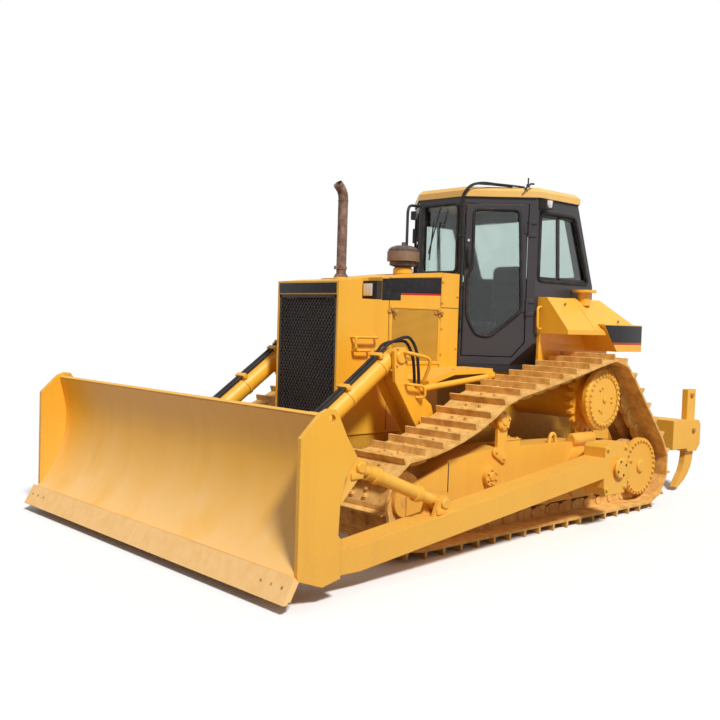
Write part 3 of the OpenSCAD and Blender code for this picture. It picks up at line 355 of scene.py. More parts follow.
def band_film(name, colour):
    """Cast vinyl film, cut and laid on the paint. The eye sees a deep even colour, glossier than the paint,
    with fine scuffs and a little dust."""
    material, tree, shader, at = begin(name, 0.3)
    feed(tree, shader, {"Specular IOR Level": 0.25})
    scuff = add(tree, "TexNoise", {"Vector": at, "Scale": 1 / 0.06, "Detail": 6.0, "Roughness": 0.7})
    scuff = add(tree, "MapRange", {"Value": scuff, "From Min": 0.5, "From Max": 0.8, "To Max": 0.16})
    coat = add(tree, "Mix", {0: scuff, 6: linear(colour), 7: linear("#8A7257")}, data_type="RGBA")
    feed(tree, shader, {"Base Color": coat})
    dull = add(tree, "MapRange", {"Value": scuff, "From Max": 0.16, "To Min": 0.34, "To Max": 0.6})
    feed(tree, shader, {"Roughness": dull})
    return material


def ribbed_lens():
    """Pressed lamp glass over a bright reflector, which is not drawn. The eye sees a pale, shiny pane with
    upright ribs 9 mm wide; the pale colour is the reflector's glare painted into the pane, and the ribs carry
    painted highlight bands."""
    material, tree, shader, at = begin("ribbed_lens", 0.08)
    ribs = add(tree, "TexWave", {"Vector": at, "Scale": 17.0}, bands_direction="Y")
    # painted reflection: pale and paler bands stand for the reflector's glare through the ribs
    painted_glare = add(tree, "Mix", {0: ribs.outputs["Fac"], 6: linear("#C9CBC6"), 7: linear("#F2F1EA")},
               data_type="RGBA")
    feed(tree, shader, {"Base Color": painted_glare})
    bump = add(tree, "Bump", {"Height": ribs.outputs["Fac"], "Strength": 0.4, "Distance": 0.003})
    feed(tree, shader, {"Normal": bump})
    return material


body_enamel = yellow_enamel("body_enamel", 0.25)
dusty_enamel = yellow_enamel("dusty_enamel", 0.75)
# the blade's pale lower face is wear and painted highlight at once
rubbed_and_painted_highlight_enamel = yellow_enamel("rubbed_and_painted_highlight_enamel", 0.35, rubbed_and_painted_highlight=0.9, soil="#E4B46C")
# the main frame's dark brown grime, heaviest near the ground, is partly painted shade: it darkens the frame
# under the tracks where shadow falls
grime_and_painted_shade_enamel = yellow_enamel("grime_and_painted_shade_enamel", 1.6, soil="#633C20")
roof_enamel = yellow_enamel("roof_enamel", 0.25, fresh="#EDB653", faded="#F3C97E")
charcoal_coat = satin_coat("charcoal_coat", "#37343A", "#4A4540")
black_coat = satin_coat("black_coat", "#242226", "#4A4138", 0.5)
iron_casting = satin_coat("iron_casting", "#5C5650", "#82694A", 0.7)
track_soil = earthy_steel("track_soil", "#EABA6A", "#CC9648", "#D2B080", 0.25)
# the cutting edge's pale peach is painted highlight: it is brighter than the blade's yellow paint to stand
# for the glare on the edge
edge_steel = earthy_steel("edge_steel", "#FBCC88", "#F6C37C", "#F0CB94", 0.12)
bolt_steel = earthy_steel("bolt_steel", "#D39C46", "#9A6A2C", "#A79B8A", 0.3)
stack_rust = scaled_pipe()
bowl_plastic = bowl_moulding()
black_plastic = grained_plastic("black_plastic", "#262427")
hose_rubber = grained_plastic("hose_rubber", "#1F1D1E", 0.65)
cab_pane = tempered_glass()
rod_chrome = chromed_rod()
seat_cloth = woven_seat()
black_film = band_film("black_film", "#151318")
red_film = band_film("red_film", "#C0202A")
lamp_glass = ribbed_lens()

finishes = {"yellow_paint": body_enamel, "charcoal_paint": charcoal_coat, "black_steel": black_coat,
            "cast_iron": iron_casting, "track_steel": track_soil, "edge_steel": edge_steel,
            "rusty_pipe": stack_rust, "grey_plastic": bowl_plastic, "black_plastic": black_plastic,
            "cab_glass": cab_pane, "seat_fabric": seat_cloth, "chromed_rod": rod_chrome}
own_finish = {"blade": rubbed_and_painted_highlight_enamel, "main_frame": grime_and_painted_shade_enamel, "cab_roof": roof_enamel}
for dusty in ("track_frames", "end_plates", "sprockets", "push_arms", "braces", "ripper_beam",
              "ripper_shanks", "ripper_bracket", "ripper_lower_link", "ripper_upper_link"):
    own_finish[dusty] = dusty_enamel
for part in frame["record"]["subparts"]:
    shown = nodes[part["node"]]
    shown.data.materials.clear()
    shown.data.materials.append(own_finish.get(part["node"], finishes[part["material_slot"]]))


# Forms: small meshes drawn about the origin, placed later by frames
def mesh_of(shape):
    bmesh.ops.recalc_face_normals(shape, faces=shape.faces)
    form = bpy.data.meshes.new("form")
    shape.to_mesh(form)
    shape.free()
    return form


def oblong(left, low, right, high):
    """The outline of a plain four-cornered plate."""
    return [(left, low), (right, low), (right, high), (left, high)]


def slab(outline, thick, soft=0.0):
    """An outline of x, y pairs made thick along z, its edges rounded."""
    shape = bmesh.new()
    face = shape.faces.new([shape.verts.new((x, y, 0)) for x, y in outline])
    raised = bmesh.ops.extrude_face_region(shape, geom=[face])["geom"]
    bmesh.ops.translate(shape, verts=[v for v in raised if isinstance(v, bmesh.types.BMVert)],
                        vec=(0, 0, thick))
    bmesh.ops.recalc_face_normals(shape, faces=shape.faces)
    if soft:
        bmesh.ops.bevel(shape, geom=shape.edges[:], offset=soft, segments=2, affect="EDGES", profile=0.6)
    return mesh_of(shape)


def lathe(profile, sides=28):
    """A turned form about z, from radius and height pairs."""
    shape = bmesh.new()
    rings = [[shape.verts.new((r * math.cos(math.tau * k / sides), r * math.sin(math.tau * k / sides), h))
              for k in range(sides if r else 1)] for r, h in profile]
    for a, b in zip(rings, rings[1:]):
        for k in range(sides):
            around = [a[k % len(a)], a[(k + 1) % len(a)], b[(k + 1) % len(b)], b[k % len(b)]]
            corners = list(dict.fromkeys(around))
            if len(corners) > 2:
                shape.faces.new(corners)
    return mesh_of(shape)


def button(top, foot, high, shoulder, sides=28):
    """A turned cap with its rim cut off from the shoulder up to its flat top; top and foot are radii."""
    return lathe([(0, high), (top, high), (foot, shoulder), (foot, 0), (0, 0)], sides)


def tube(path, radius, sides=12, bore=0.0):
    """A round bar along a path, closed at both ends, or bored into from its far end."""
    shape = bmesh.new()
    path = [Vector(p) for p in path]
    last = len(path) - 1
    turn, stations = None, []
    for i, p in enumerate(path):
        ahead = (path[min(i + 1, last)] - path[max(i - 1, 0)]).normalized()
        turn = ahead.orthogonal() if turn is None else turn - ahead * turn.dot(ahead)
        turn.normalize()
        stations.append((p, turn.copy(), ahead.cross(turn), radius))
    if bore:
        stations += [(p, across, over, bore) for p, across, over, r in stations[:last // 2:-1]]
    turns = [math.tau * k / sides for k in range(sides)]
    rings = [[shape.verts.new(p + r * (math.cos(t) * across + math.sin(t) * over)) for t in turns]
             for p, across, over, r in stations]
    for a, b in zip(rings, rings[1:]):
        for k in range(sides):
            shape.faces.new((a[k], a[(k + 1) % sides], b[(k + 1) % sides], b[k]))
    shape.faces.new(rings[0])
    shape.faces.new(rings[-1])
    return mesh_of(shape)


def rounded(path, reach, closed=False):
    """A path with each corner rounded off over reach."""
    path = [Vector(p) for p in path]
    count, out = len(path), []
    for i, corner in enumerate(path):
        if not closed and i in (0, count - 1):
            out.append(corner)
            continue
        before, after = path[i - 1] - corner, path[(i + 1) % count] - corner
        start = corner + before.normalized() * min(reach, before.length * 0.48)
        end = corner + after.normalized() * min(reach, after.length * 0.48)
        out += [start.lerp(corner, t).lerp(corner.lerp(end, t), t) for t in (0, 0.2, 0.4, 0.6, 0.8, 1)]
    return out


def eased(points, steps):
    """A smooth path through points, evenly sampled between them."""
    points = [Vector(p) for p in points]
    points = [2 * points[0] - points[1]] + points + [2 * points[-1] - points[-2]]
    out = []
    for a, b, c, d in zip(points, points[1:], points[2:], points[3:]):
        for k in range(steps):
            t = k / steps
            out.append(0.5 * (2 * b + (c - a) * t + (2 * a - 5 * b + 4 * c - d) * t * t
                              + (3 * b - a - 3 * c + d) * t ** 3))
    return out + [points[-2]]


def bent(path, reach, radius, sides=12):
    """A round bar bent over reach at each corner of a path."""
    return tube(rounded(path, reach), radius, sides)


def hex_bolt(across, high):
    """A bolt head on its washer."""
    shape = bmesh.new()
    washer = lathe(oblong(0, 0, across * 0.95, high * 0.18), 14)
    head = lathe([(0, 0), (across * 0.58, 0), (across * 0.58, high * 0.85), (across * 0.48, high),
                  (0, high)], 6)
    shape.from_mesh(washer)
    shape.from_mesh(head)
    return mesh_of(shape)


# Frames: where a form goes
MIRROR = Matrix.Diagonal((1, -1, 1, 1))
HERE = [Matrix.Identity(4)]


def shift(x, y, z):
    """A frame moved from the origin without a turn."""
    return Matrix.Translation((x, y, z))


def facing(point, normal, along=(0, 0, 1)):
    """A frame at a point with z along the normal and x as near to along as it can be."""
    z = Vector(normal).normalized()
    x = Vector(along) - z * Vector(along).dot(z)
    x = x.normalized() if x.length > 1e-6 else z.orthogonal().normalized()
    return Matrix.Translation(point) @ Matrix((x, z.cross(x), z)).transposed().to_4x4()


def side(y):
    """A frame for outlines in X and Z on the left, thick inward from y."""
    return Matrix(((1, 0, 0, 0), (0, 0, -1, y), (0, 1, 0, 0), (0, 0, 0, 1)))


def front(x):
    """A frame for outlines in Y and Z, thick forward from x."""
    return Matrix(((0, 0, 1, x), (1, 0, 0, 0), (0, 1, 0, 0), (0, 0, 0, 1)))


def both(frames):
    """Frames with their mirror images on the right side."""
    return [m for f in frames for m in (f, MIRROR @ f)]


def outward(point):
    """A frame on the machine's left side, z to the left and x up."""
    return facing(point, (0, 1, 0))


def ring(middle, radius, count, start=0.0):
    """Frames evenly round a circle in X and Z, facing left."""
    base = outward(middle)
    return [base @ Matrix.Rotation(start + math.tau * k / count, 4, "Z") @ shift(radius, 0, 0)
            for k in range(count)]


def piece(name, forms, finish, body="tractor", smooth=35):
    """A named piece from forms and their frames, riding a body."""
    shape = bmesh.new()
    for form, frames in forms:
        for place in frames:
            copy = form.copy()
            copy.transform(place)
            shape.from_mesh(copy)
            bpy.data.meshes.remove(copy)
    bmesh.ops.recalc_face_normals(shape, faces=shape.faces)
    mesh = bpy.data.meshes.new(name)
    shape.to_mesh(mesh)
    shape.free()
    mesh.shade_smooth()
    mesh.set_sharp_from_angle(angle=math.radians(smooth))
    mesh.materials.append(finish)
    made = bpy.data.objects.new(name, mesh)
    scene.collection.objects.link(made)
    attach(made, body)
    return made


def hose(name, points, diameter, swing=None):
    """A rubber hose that leaves the machine and goes back into it, riding the tractor; when swing is given it
    rides no body and keeps its place, and the two X in swing are not used."""
    path = eased(points, 5)
    mesh = tube(path, diameter / 2, 12)
    mesh.shade_smooth()
    mesh.materials.append(hose_rubber)
    made = bpy.data.objects.new(name, mesh)
    scene.collection.objects.link(made)
    if swing:
        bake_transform(made)
    else:
        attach(made, "tractor")
    return made


# Undercarriage: sizes repeated from the part's source, in metres
TRACK_Y, FRAME_FACE = 1.08, 1.22
FRONT_IDLER, REAR_IDLER, SPROCKET, CARRIER = (1.6, 0.392), (-1.48, 0.392), (-0.85, 1.032), (0.53, 0.912)


def chain_links():
    """Each link's pin, direction and outward side in X and Z, laid round the four wheels."""
    wheels = [(Vector(middle), radius) for middle, radius in (
        (FRONT_IDLER, 0.32), (REAR_IDLER, 0.32), (SPROCKET, 0.345), (CARRIER, 0.185))]
    sags = (0, 0, 0.01, 0.08)

    def leave(i):
        (p, r), (q, s) = wheels[i % 4], wheels[(i + 1) % 4]
        return math.atan2(q.y - p.y, q.x - p.x) + math.acos((r - s) / (q - p).length)

    loop = []
    for i in range(4):
        start, end = leave(i + 3), leave(i)
        while end > start + math.pi / 2:
            end -= math.tau
        end = min(end, start)
        middle, radius = wheels[i]
        for k in range(25):
            a = start + (end - start) * k / 24
            loop.append(middle + radius * Vector((math.cos(a), math.sin(a))))
        out = Vector((math.cos(leave(i)), math.sin(leave(i))))
        p, (q, s) = middle + radius * out, wheels[(i + 1) % 4]
        q = q + s * out
        loop += [p.lerp(q, k / 24) - out * 4 * sags[i] * (k / 24) * (1 - k / 24) for k in range(1, 24)]
    steps = [(b - a).length for a, b in zip(loop, loop[1:] + loop[:1])]
    count = round(sum(steps) / 0.19)
    pitch, pins, walked, k = sum(steps) / count, [], 0.0, 0
    for i in range(count):
        while walked + steps[k] < i * pitch:
            walked += steps[k]
            k += 1
        pins.append(loop[k].lerp(loop[(k + 1) % len(loop)], (i * pitch - walked) / steps[k]))
    links = []
    for a, b in zip(pins, pins[1:] + pins[:1]):
        d = (b - a).normalized()
        links.append((a, d, Vector((-d.y, d.x))))
    return links


def dress_tracks():
    heads, stubs = [], []
    for pin, d, out in chain_links():
        for y in (TRACK_Y - 0.066, TRACK_Y + 0.066):
            for u in (0.085, 0.14):
                spot = pin + d * u + out * 0.022
                heads.append(facing((spot.x, y, spot.y), (out.x, 0, out.y), (d.x, 0, d.y)))
        spot = pin - out * 0.047
        for y, way in ((TRACK_Y - 0.092, -1), (TRACK_Y + 0.092, 1)):
            stubs.append(facing((spot.x, y, spot.y), (0, way, 0)))
    piece("shoe_bolts", [(hex_bolt(0.026, 0.017), both(heads))], track_soil)
    stub = lathe([(0, 0), (0.036, 0), (0.036, 0.008), (0.03, 0.012), (0.024, 0.012), (0.02, 0.008),
                  (0, 0.008)], 20)
    piece("chain_pins", [(stub, both(stubs))], track_soil)


def dress_undercarriage():
    hub_y, housing_y = 1.25, 1.26
    hub = (SPROCKET[0], hub_y, SPROCKET[1])
    bolt, small = hex_bolt(0.024, 0.016), hex_bolt(0.018, 0.012)
    cap = button(0.02, 0.026, 0.014, 0.01)
    rim = lathe(oblong(0.2, 0, 0.236, 0.006), 56)
    piece("hub_bolts", [(bolt, both(ring(hub, 0.222, 28))), (rim, both([outward(hub)])),
                        (cap, both([outward(hub)])),
                        (small, both(ring(hub, 0.115, 3, 0.68) + ring(hub, 0.115, 3, 0.32)))],
          dusty_enamel)
    flange = (SPROCKET[0], TRACK_Y + 0.15, SPROCKET[1])
    teeth = lathe(oblong(0.246, 0, 0.268, 0.005), 56)
    piece("hub_rim", [(teeth, both([outward(flange)])), (small, both(ring(flange, 0.258, 36)))],
          dusty_enamel)
    housing = (REAR_IDLER[0], housing_y, REAR_IDLER[1])
    boss = button(0.05, 0.06, 0.02, 0.012)
    plug = (REAR_IDLER[0] + 0.16, housing_y, REAR_IDLER[1] + 0.06)
    piece("idler_housing_bolts", [(bolt, both(ring(housing, 0.238, 30))), (boss, both([outward(housing)])),
                                  (bolt, both([outward(plug)]))], dusty_enamel)
    guard_boss = (0.69, 1.26, 0.495)
    dish = button(0.03, 0.036, 0.012, 0.006)
    carrier = (CARRIER[0], FRAME_FACE, CARRIER[1])
    wheel_cap = lathe([(0, 0.03), (0.03, 0.03), (0.036, 0.022), (0.06, 0.022), (0.075, 0.014), (0.078, 0),
                       (0, 0)])
    capsule = [(0.06 * s + 0.036 * math.cos(a), 0.036 * math.sin(a)) for s, turn in ((1, -1), (-1, 1))
               for a in [turn * math.pi / 2 + k * math.pi / 8 for k in range(9)]]
    cover = side(FRAME_FACE + 0.02) @ shift(0.575, 0.648, 0) @ Matrix.Rotation(0.55, 4, "Z")
    eye = bent([(-0.24, 1.18, 0.675), (-0.22, 1.18, 0.765), (-0.16, 1.18, 0.765), (-0.14, 1.18, 0.675)],
               0.04, 0.016)
    lid = slab(oblong(0.293, 1.09, 0.478, 1.226), 0.008, 0.003)
    adjuster = lathe([(0, 0), (0.04, 0), (0.055, 0.012), (0.055, 0.3), (0.048, 0.31), (0, 0.31)])
    piece("roller_frame_fittings",
          [(small, both(ring(guard_boss, 0.052, 6))), (dish, both([outward(guard_boss)])),
           (wheel_cap, both([outward(carrier)])),
           (small, both(ring((CARRIER[0], FRAME_FACE + 0.02, CARRIER[1]), 0.056, 5))),
           (slab(capsule, 0.022, 0.006), both([cover])),
           (small, both([cover @ facing((s * 0.055, 0, 0), (0, 0, -1)) for s in (-1, 1)])),
           (eye, both(HERE)), (lid, both([shift(0, 0, 0.753)])),
           (small, both([facing((x, y, 0.761), (0, 0, 1)) for x in (0.32, 0.45) for y in (1.115, 1.2)])),
           (adjuster, both([facing((-0.43, 1.2, 0.7), (-1, 0, 0))]))],
          dusty_enamel)
    seam = slab(oblong(0, 0, 0.01, 0.215), 0.006)
    piece("yoke_seams", [(seam, both([side(FRAME_FACE + 0.0135) @ shift(1.165, 0.42, 0)]))],
          black_coat)
    guards = [outward((1.21 - k * 2.34 / 7, FRAME_FACE, 0.255)) for k in range(8)]
    piece("roller_caps", [(button(0.038, 0.046, 0.02, 0.012, 20), both(guards))],
          dusty_enamel)


def dress_arms_and_blade():
    arm_face = 1.63
    cap = button(0.075, 0.085, 0.018, 0.01)
    pin = button(0.03, 0.036, 0.022, 0.016, 24)
    trunnion = (-0.5, arm_face + 0.02, 0.51)
    bolt = hex_bolt(0.026, 0.018)
    low, high = (1.61, 0.445), (2.4, 0.76)
    keeper = slab(oblong(-0.02, -0.05, 0.02, 0.05), 0.012, 0.004)
    piece("arm_caps", [(cap, both([outward(trunnion)])), (bolt, both(ring(trunnion, 0.062, 4, 0.4))),
                       (bolt, both([outward((x, arm_face, z)) for x in (-0.6, -0.33)
                                    for z in (0.345, 0.675)])),
                       (pin, both([outward((x, 1.596, z)) for x, z in (low, high)])),
                       (keeper, both([outward((x + 0.03, 1.596, z - 0.05)) for x, z in (low, high)]))],
          dusty_enamel, "blade")
    tilt = math.atan2(high[1] - low[1], high[0] - low[0])
    run = Vector((math.cos(tilt), 0, math.sin(tilt)))
    collar = lathe([(0.044, 0), (0.058, 0.004), (0.058, 0.04), (0.044, 0.044)], 24)
    thread = lathe([(0.034 + 0.004 * (k % 2), 0.008 * k) for k in range(16)], 20)
    start = Vector((low[0], 1.53, low[1]))
    piece("brace_collars", [(collar, both([facing(start + run * s, run) for s in (0.2, 0.62)])),
                            (thread, both([facing(start + run * 0.075, run)]))],
          dusty_enamel, "blade")


def skin_blade():
    """The blade's face as one smooth sheet over the solid's flats, a little wavy from years of pushing."""
    middle, radius, first, last = Vector((3.575, 0, 0.785)), 0.8095, 225.6, 156.9
    shape = bmesh.new()
    rows = []
    for i in range(49):
        a = math.radians(first + (last - first) * i / 48)
        out = Vector((math.cos(a), 0, math.sin(a)))
        rows.append([])
        for j in range(97):
            y = 1.7 * (j / 48 - 1)
            dent = 0.0018 * noise.noise(Vector((y * 2.4, a * 3.2, 0.7)))
            rows[-1].append(shape.verts.new(middle + out * (radius + dent) + Vector((0, y, 0))))
    for low, high in zip(rows, rows[1:]):
        for j in range(96):
            shape.faces.new((low[j], low[j + 1], high[j + 1], high[j]))
    piece("blade_face", [(mesh_of(shape), HERE)], rubbed_and_painted_highlight_enamel, "blade", 60)
    # the edge is bolted on in two lengths between the corner bits, flush with them
    plate = [(3.1, 0.061), (3.02, 0.2102), (3.0102, 0.2002), (3.07, 0.061)]
    piece("edge_plates", [(slab(plate, 1.4175, 0.002), both([side(1.4195)]))], edge_steel,
          "blade", 12)
    # the sunk plow bolt heads take the darker bolt steel as painted shade, standing for the dark of their
    # countersunk holes
    sunk_head = lathe([(0, 0.0015), (0.009, 0.0015), (0.011, 0), (0, 0)], 16)
    spots = [facing((3.056, y, 0.143), (0.1492, 0, 0.08)) for y in (1.48, 1.58, 1.68)]
    piece("edge_bolts", [(sunk_head, both(spots))], bolt_steel, "blade")


def dress_hood():
    band = [(1.083, 1.897), (1.083, 2.01), (0.383, 2.05), (0.383, 1.915)]
    low_band = [(1.083, 1.836), (1.083, 1.905), (0.868, 1.908), (0.868, 1.842)]
    piece("hood_bands", [(slab(band, 0.003, 0.001), both([side(0.3828)])),
                         (slab(low_band, 0.003, 0.001), both([side(0.3826)])),
                         (slab(oblong(-0.356, 1.874, 0.356, 1.955), 0.004, 0.0015),
                          [front(1.55)])], black_film)
    line = [(0.866, 1.888), (0.866, 1.901), (0.383, 1.915), (0.383, 1.901)]
    piece("hood_lines", [(slab(line, 0.003, 0.001), both([side(0.3829)]))], red_film)


def dress_grille():
    half, low, high, x = 0.36, 0.8, 1.862, 1.535
    strands, pitch = [], 0.048
    for k in range(-40, 60):
        for way in (1, -1):
            # each strand runs at 55 degrees across the opening and is trimmed to it
            start, end = None, None
            for j in range(201):
                z = low + (high - low) * j / 200
                y = (k * pitch * 0.75 + (z - low) / math.tan(math.radians(55))) * way
                if -half <= y <= half:
                    start = start or (y, z)
                    end = (y, z)
            if start and end and math.dist(start, end) > 0.01:
                strands.append((start, end, way))
    forms = []
    for (y0, z0), (y1, z1), way in strands:
        run = Vector((0, y1 - y0, z1 - z0))
        form = slab(oblong(0, -0.0035, run.length, 0.0035), 0.006)
        forms.append((form, [facing((x + 0.003 * way, y0, z0), (1, 0, 0), run)]))
    rim = slab(oblong(-half, low, half, low + 0.026), 0.012, 0.003)
    post = slab(oblong(-half, low, -half + 0.026, high), 0.012, 0.003)
    forms += [(rim, [front(x), front(x) @ shift(0, high - low - 0.026, 0)]), (post, both([front(x)]))]
    mesh_panel = piece("grille_mesh", forms, black_coat)
    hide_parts("grille")


def perforated(wide, high, pitch, hole):
    """A sheet in x and y with a grid of round holes."""
    shape = bmesh.new()
    columns, rows = round(wide / pitch), round(high / pitch)
    corners = [(1, 0), (1, 1), (0, 1), (-1, 1), (-1, 0), (-1, -1), (0, -1), (1, -1)]
    spokes = [math.tau * k / 8 for k in range(8)]
    for i in range(columns):
        for j in range(rows):
            x, y = (i + 0.5) * wide / columns, (j + 0.5) * high / rows
            outer = [shape.verts.new((x + a * wide / columns / 2, y + b * high / rows / 2, 0))
                     for a, b in corners]
            inner = [shape.verts.new((x + hole / 2 * math.cos(t), y + hole / 2 * math.sin(t), 0))
                     for t in spokes]
            for k in range(8):
                shape.faces.new((outer[k], outer[(k + 1) % 8], inner[(k + 1) % 8], inner[k]))
    bmesh.ops.remove_doubles(shape, verts=shape.verts, dist=0.0005)
    return mesh_of(shape)


def dress_engine_sides():
    low, high, back, fore, skin = 1.31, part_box("engine_panels")[1].z, 0.38, 0.985, 0.3855
    rail, stile = 0.03, 0.025
    # holes drawn 6.8 mm across and 9 mm apart, because the real 4 mm ones are too fine to show
    sheet = perforated(fore - back - 2 * stile, high - low - 2 * rail, 0.009, 0.0068)
    rims = [slab(oblong(*corners), 0.015, 0.003) for corners in (
        (back, low, fore, low + rail), (back, high - rail, fore, high),
        (back, low + rail, back + stile, high - rail), (fore - stile, low + rail, fore, high - rail))]
    inset = side(skin - 0.003) @ shift(back + stile, low + rail, 0)
    forms = [(sheet, both([inset]))] + [(rim, both([side(skin)])) for rim in rims]
    panels = piece("perforated_panels", forms, body_enamel)
    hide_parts("engine_panels")
    # painted shade: a black sheet behind the holes stands for the dark of the shadowed engine bay
    painted_shade_sheet = oblong(back + 0.02, low + 0.025, fore - 0.02, high - 0.025)
    piece("panel_painted_shade", [(slab(painted_shade_sheet, 0.002), both([side(skin - 0.0045)]))], black_coat)
    plate = slab(oblong(-0.012, -0.055, 0.012, 0.055), 0.006, 0.002)
    handle = bent([(-0.02, 0.03, 0), (-0.02, 0.03, 0.03), (0.02, -0.02, 0.03), (0.02, -0.02, 0)],
                  0.012, 0.006, 8)
    spots = [facing((x, skin, high - 0.055), (0, 1, 0), (1, 0, 0)) for x in (fore - stile, back + stile)]
    piece("panel_latches", [(plate, both([s @ Matrix.Rotation(math.pi / 2, 4, "Z") for s in spots])),
                            (handle, both(spots)),
                            (hex_bolt(0.011, 0.008), both([s @ shift(0, 0, 0.006) for s in spots]))],
          bolt_steel)
    grab = bent([(1.405, 0.378, 1.535), (1.405, 0.44, 1.535), (1.16, 0.44, 1.535), (1.16, 0.378, 1.535)],
                0.03, 0.011)
    grab_low = bent([(1.39, 0.378, 1.43), (1.39, 0.43, 1.43), (1.235, 0.43, 1.43), (1.235, 0.378, 1.43)],
                    0.03, 0.011)
    post = bent([(1.405, 0.438, 1.535), (1.405, 0.438, 1.45), (1.39, 0.43, 1.43)], 0.02, 0.011)
    piece("guard_grab_rail", [(form, both(HERE)) for form in (grab, grab_low, post)], body_enamel)
    bolt = hex_bolt(0.016, 0.01)
    spots = [(0.36, z) for z in (1.4, 1.62, 1.84, 2.02)] + [(0.165, z) for z in (1.45, 1.9)]
    seams = [slab(oblong(0.376, 1.26, 0.38, 2.09), 0.002),
             slab(oblong(0.995, 0.78, 1.0, 1.84), 0.002),
             slab(oblong(0.15, 1.795, 0.376, 1.8), 0.002)]
    piece("cowl_bolts", [(bolt, both([outward((x, 0.38, z)) for x, z in spots]))], body_enamel)
    piece("cowl_seams", [(form, both([side(0.3812)])) for form in seams], black_coat)


def dress_lamps():
    def pane(size):
        return oblong(-0.052 * size, -0.05 * size, 0.052 * size, 0.05 * size)

    spots = both([front(1.14) @ shift(0.285, 1.917, 0)])
    piece("lamp_bezels", [(slab(pane(1.16), 0.012, 0.004), spots)], black_plastic)
    piece("lamp_lenses", [(slab(pane(1), 0.016, 0.007), [s @ shift(0, 0, 0.003) for s in spots])],
          lamp_glass)
    wall = both([facing((-0.505, 0.83, 2.745), (0.2, 1, -0.15))])
    piece("work_lamp_lenses", [(slab(pane(0.62), 0.006, 0.003), wall)], lamp_glass)


def dress_stack():
    x, y, foot = 1.3, 0.12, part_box("exhaust_stack")[0].z
    path = rounded([(x, y, foot), (x, y, 2.3), (x, y, 2.692), (x + 0.064, y, 2.757)], 0.055)
    pipe = tube(path, 0.04, 28, bore=0.0355)
    collar = lathe([(0.04, 0), (0.058, 0), (0.056, 0.01), (0.046, 0.024), (0.041, 0.026)])
    clamp = lathe([(0.04, 0), (0.0455, 0.002), (0.0455, 0.026), (0.04, 0.028)])
    lug = slab(oblong(-0.014, -0.012, 0.014, 0.012), 0.028, 0.003)
    weld = lathe([(0.039, 0), (0.0425, 0.003), (0.043, 0.006), (0.0425, 0.009), (0.039, 0.012)])
    stack = piece("weathered_stack", [
        (pipe, HERE), (collar, [shift(x, y, foot)]), (clamp, [shift(x, y, foot + 0.06)]),
        (lug, [shift(x + 0.055, y, foot + 0.06)]), (weld, [shift(x, y, 2.62)])], stack_rust)
    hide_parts("exhaust_stack")
    bowl = (0.53, 0.06, 2.1057)
    band = lathe([(0.139, 0.1), (0.1415, 0.102), (0.1415, 0.112), (0.139, 0.114)], 48)
    knob = lathe([(0, 0.03), (0.014, 0.028), (0.018, 0.02), (0.018, 0), (0, 0)], 20)
    neck = lathe([(0.078, -0.03), (0.086, -0.02), (0.086, 0.02), (0.076, 0.03), (0.074, 0.03)], 36)
    piece("bowl_fittings", [(band, [shift(*bowl)]), (knob, [shift(0.53, 0.06, 2.33)])],
          bowl_plastic)
    piece("bowl_neck", [(neck, [shift(*bowl)])], body_enamel)


# Cab: the left door's plane, its x back along the door and its z outward
DOOR_RUN = Vector((-0.45, 0.48, 0)).normalized()
DOOR_OUT = Vector((DOOR_RUN.y, -DOOR_RUN.x, 0))
DOOR_LENGTH = math.hypot(0.45, 0.48)


def on_door(t=0.0):
    """A frame on the left door's plane, or t out from it."""
    origin = Vector((0, 0.27, 0)) + DOOR_OUT * t
    return Matrix.Translation(origin) @ Matrix((DOOR_RUN, (0, 0, 1), DOOR_OUT)).transposed().to_4x4()


def gasket(outline, reach, radius):
    """A rubber bead round a window, drawn in x and y."""
    path = rounded([(x, y, 0) for x, y in outline], reach, closed=True)
    return tube(path + path[:2], radius, 8)


def dress_doors():
    back, low, high = DOOR_LENGTH - 0.112, 1.385, 2.735
    window = [(0.15, low + 0.185), (0.27, low + 0.17), (back, low + 0.405), (back - 0.045, high - 0.045),
              (0.098, high - 0.045), (0.098, high - 0.565), (0.055, high - 0.64), (0.058, low + 0.365),
              (0.098, low + 0.27)]
    bead = gasket(window, 0.05, 0.014)
    recess = slab(oblong(0.03, 2.16, 0.085, 2.36), 0.01, 0.004)
    lever = bent([(0.058, 2.34, 0.008), (0.058, 2.33, 0.035), (0.058, 2.2, 0.035), (0.058, 2.18, 0.008)],
                 0.02, 0.011)
    lock = button(0.012, 0.016, 0.012, 0.008, 20)
    strip = slab(oblong(0.026, low + 0.02, 0.034, high - 0.02), 0.004)
    for hand, body, flip in (("left", "left_door", Matrix.Identity(4)), ("right", "right_door", MIRROR)):
        panel = flip @ on_door()
        piece(f"door_seal_{hand}", [(bead, [flip @ on_door(0.001)]), (strip, [panel])], hose_rubber,
              body)
        piece(f"door_handle_{hand}", [(recess, [panel]), (lever, [panel])], black_plastic,
              body)
        piece(f"door_lock_{hand}", [(lock, [panel @ shift(0.057, 2.41, 0)])], rod_chrome, body)


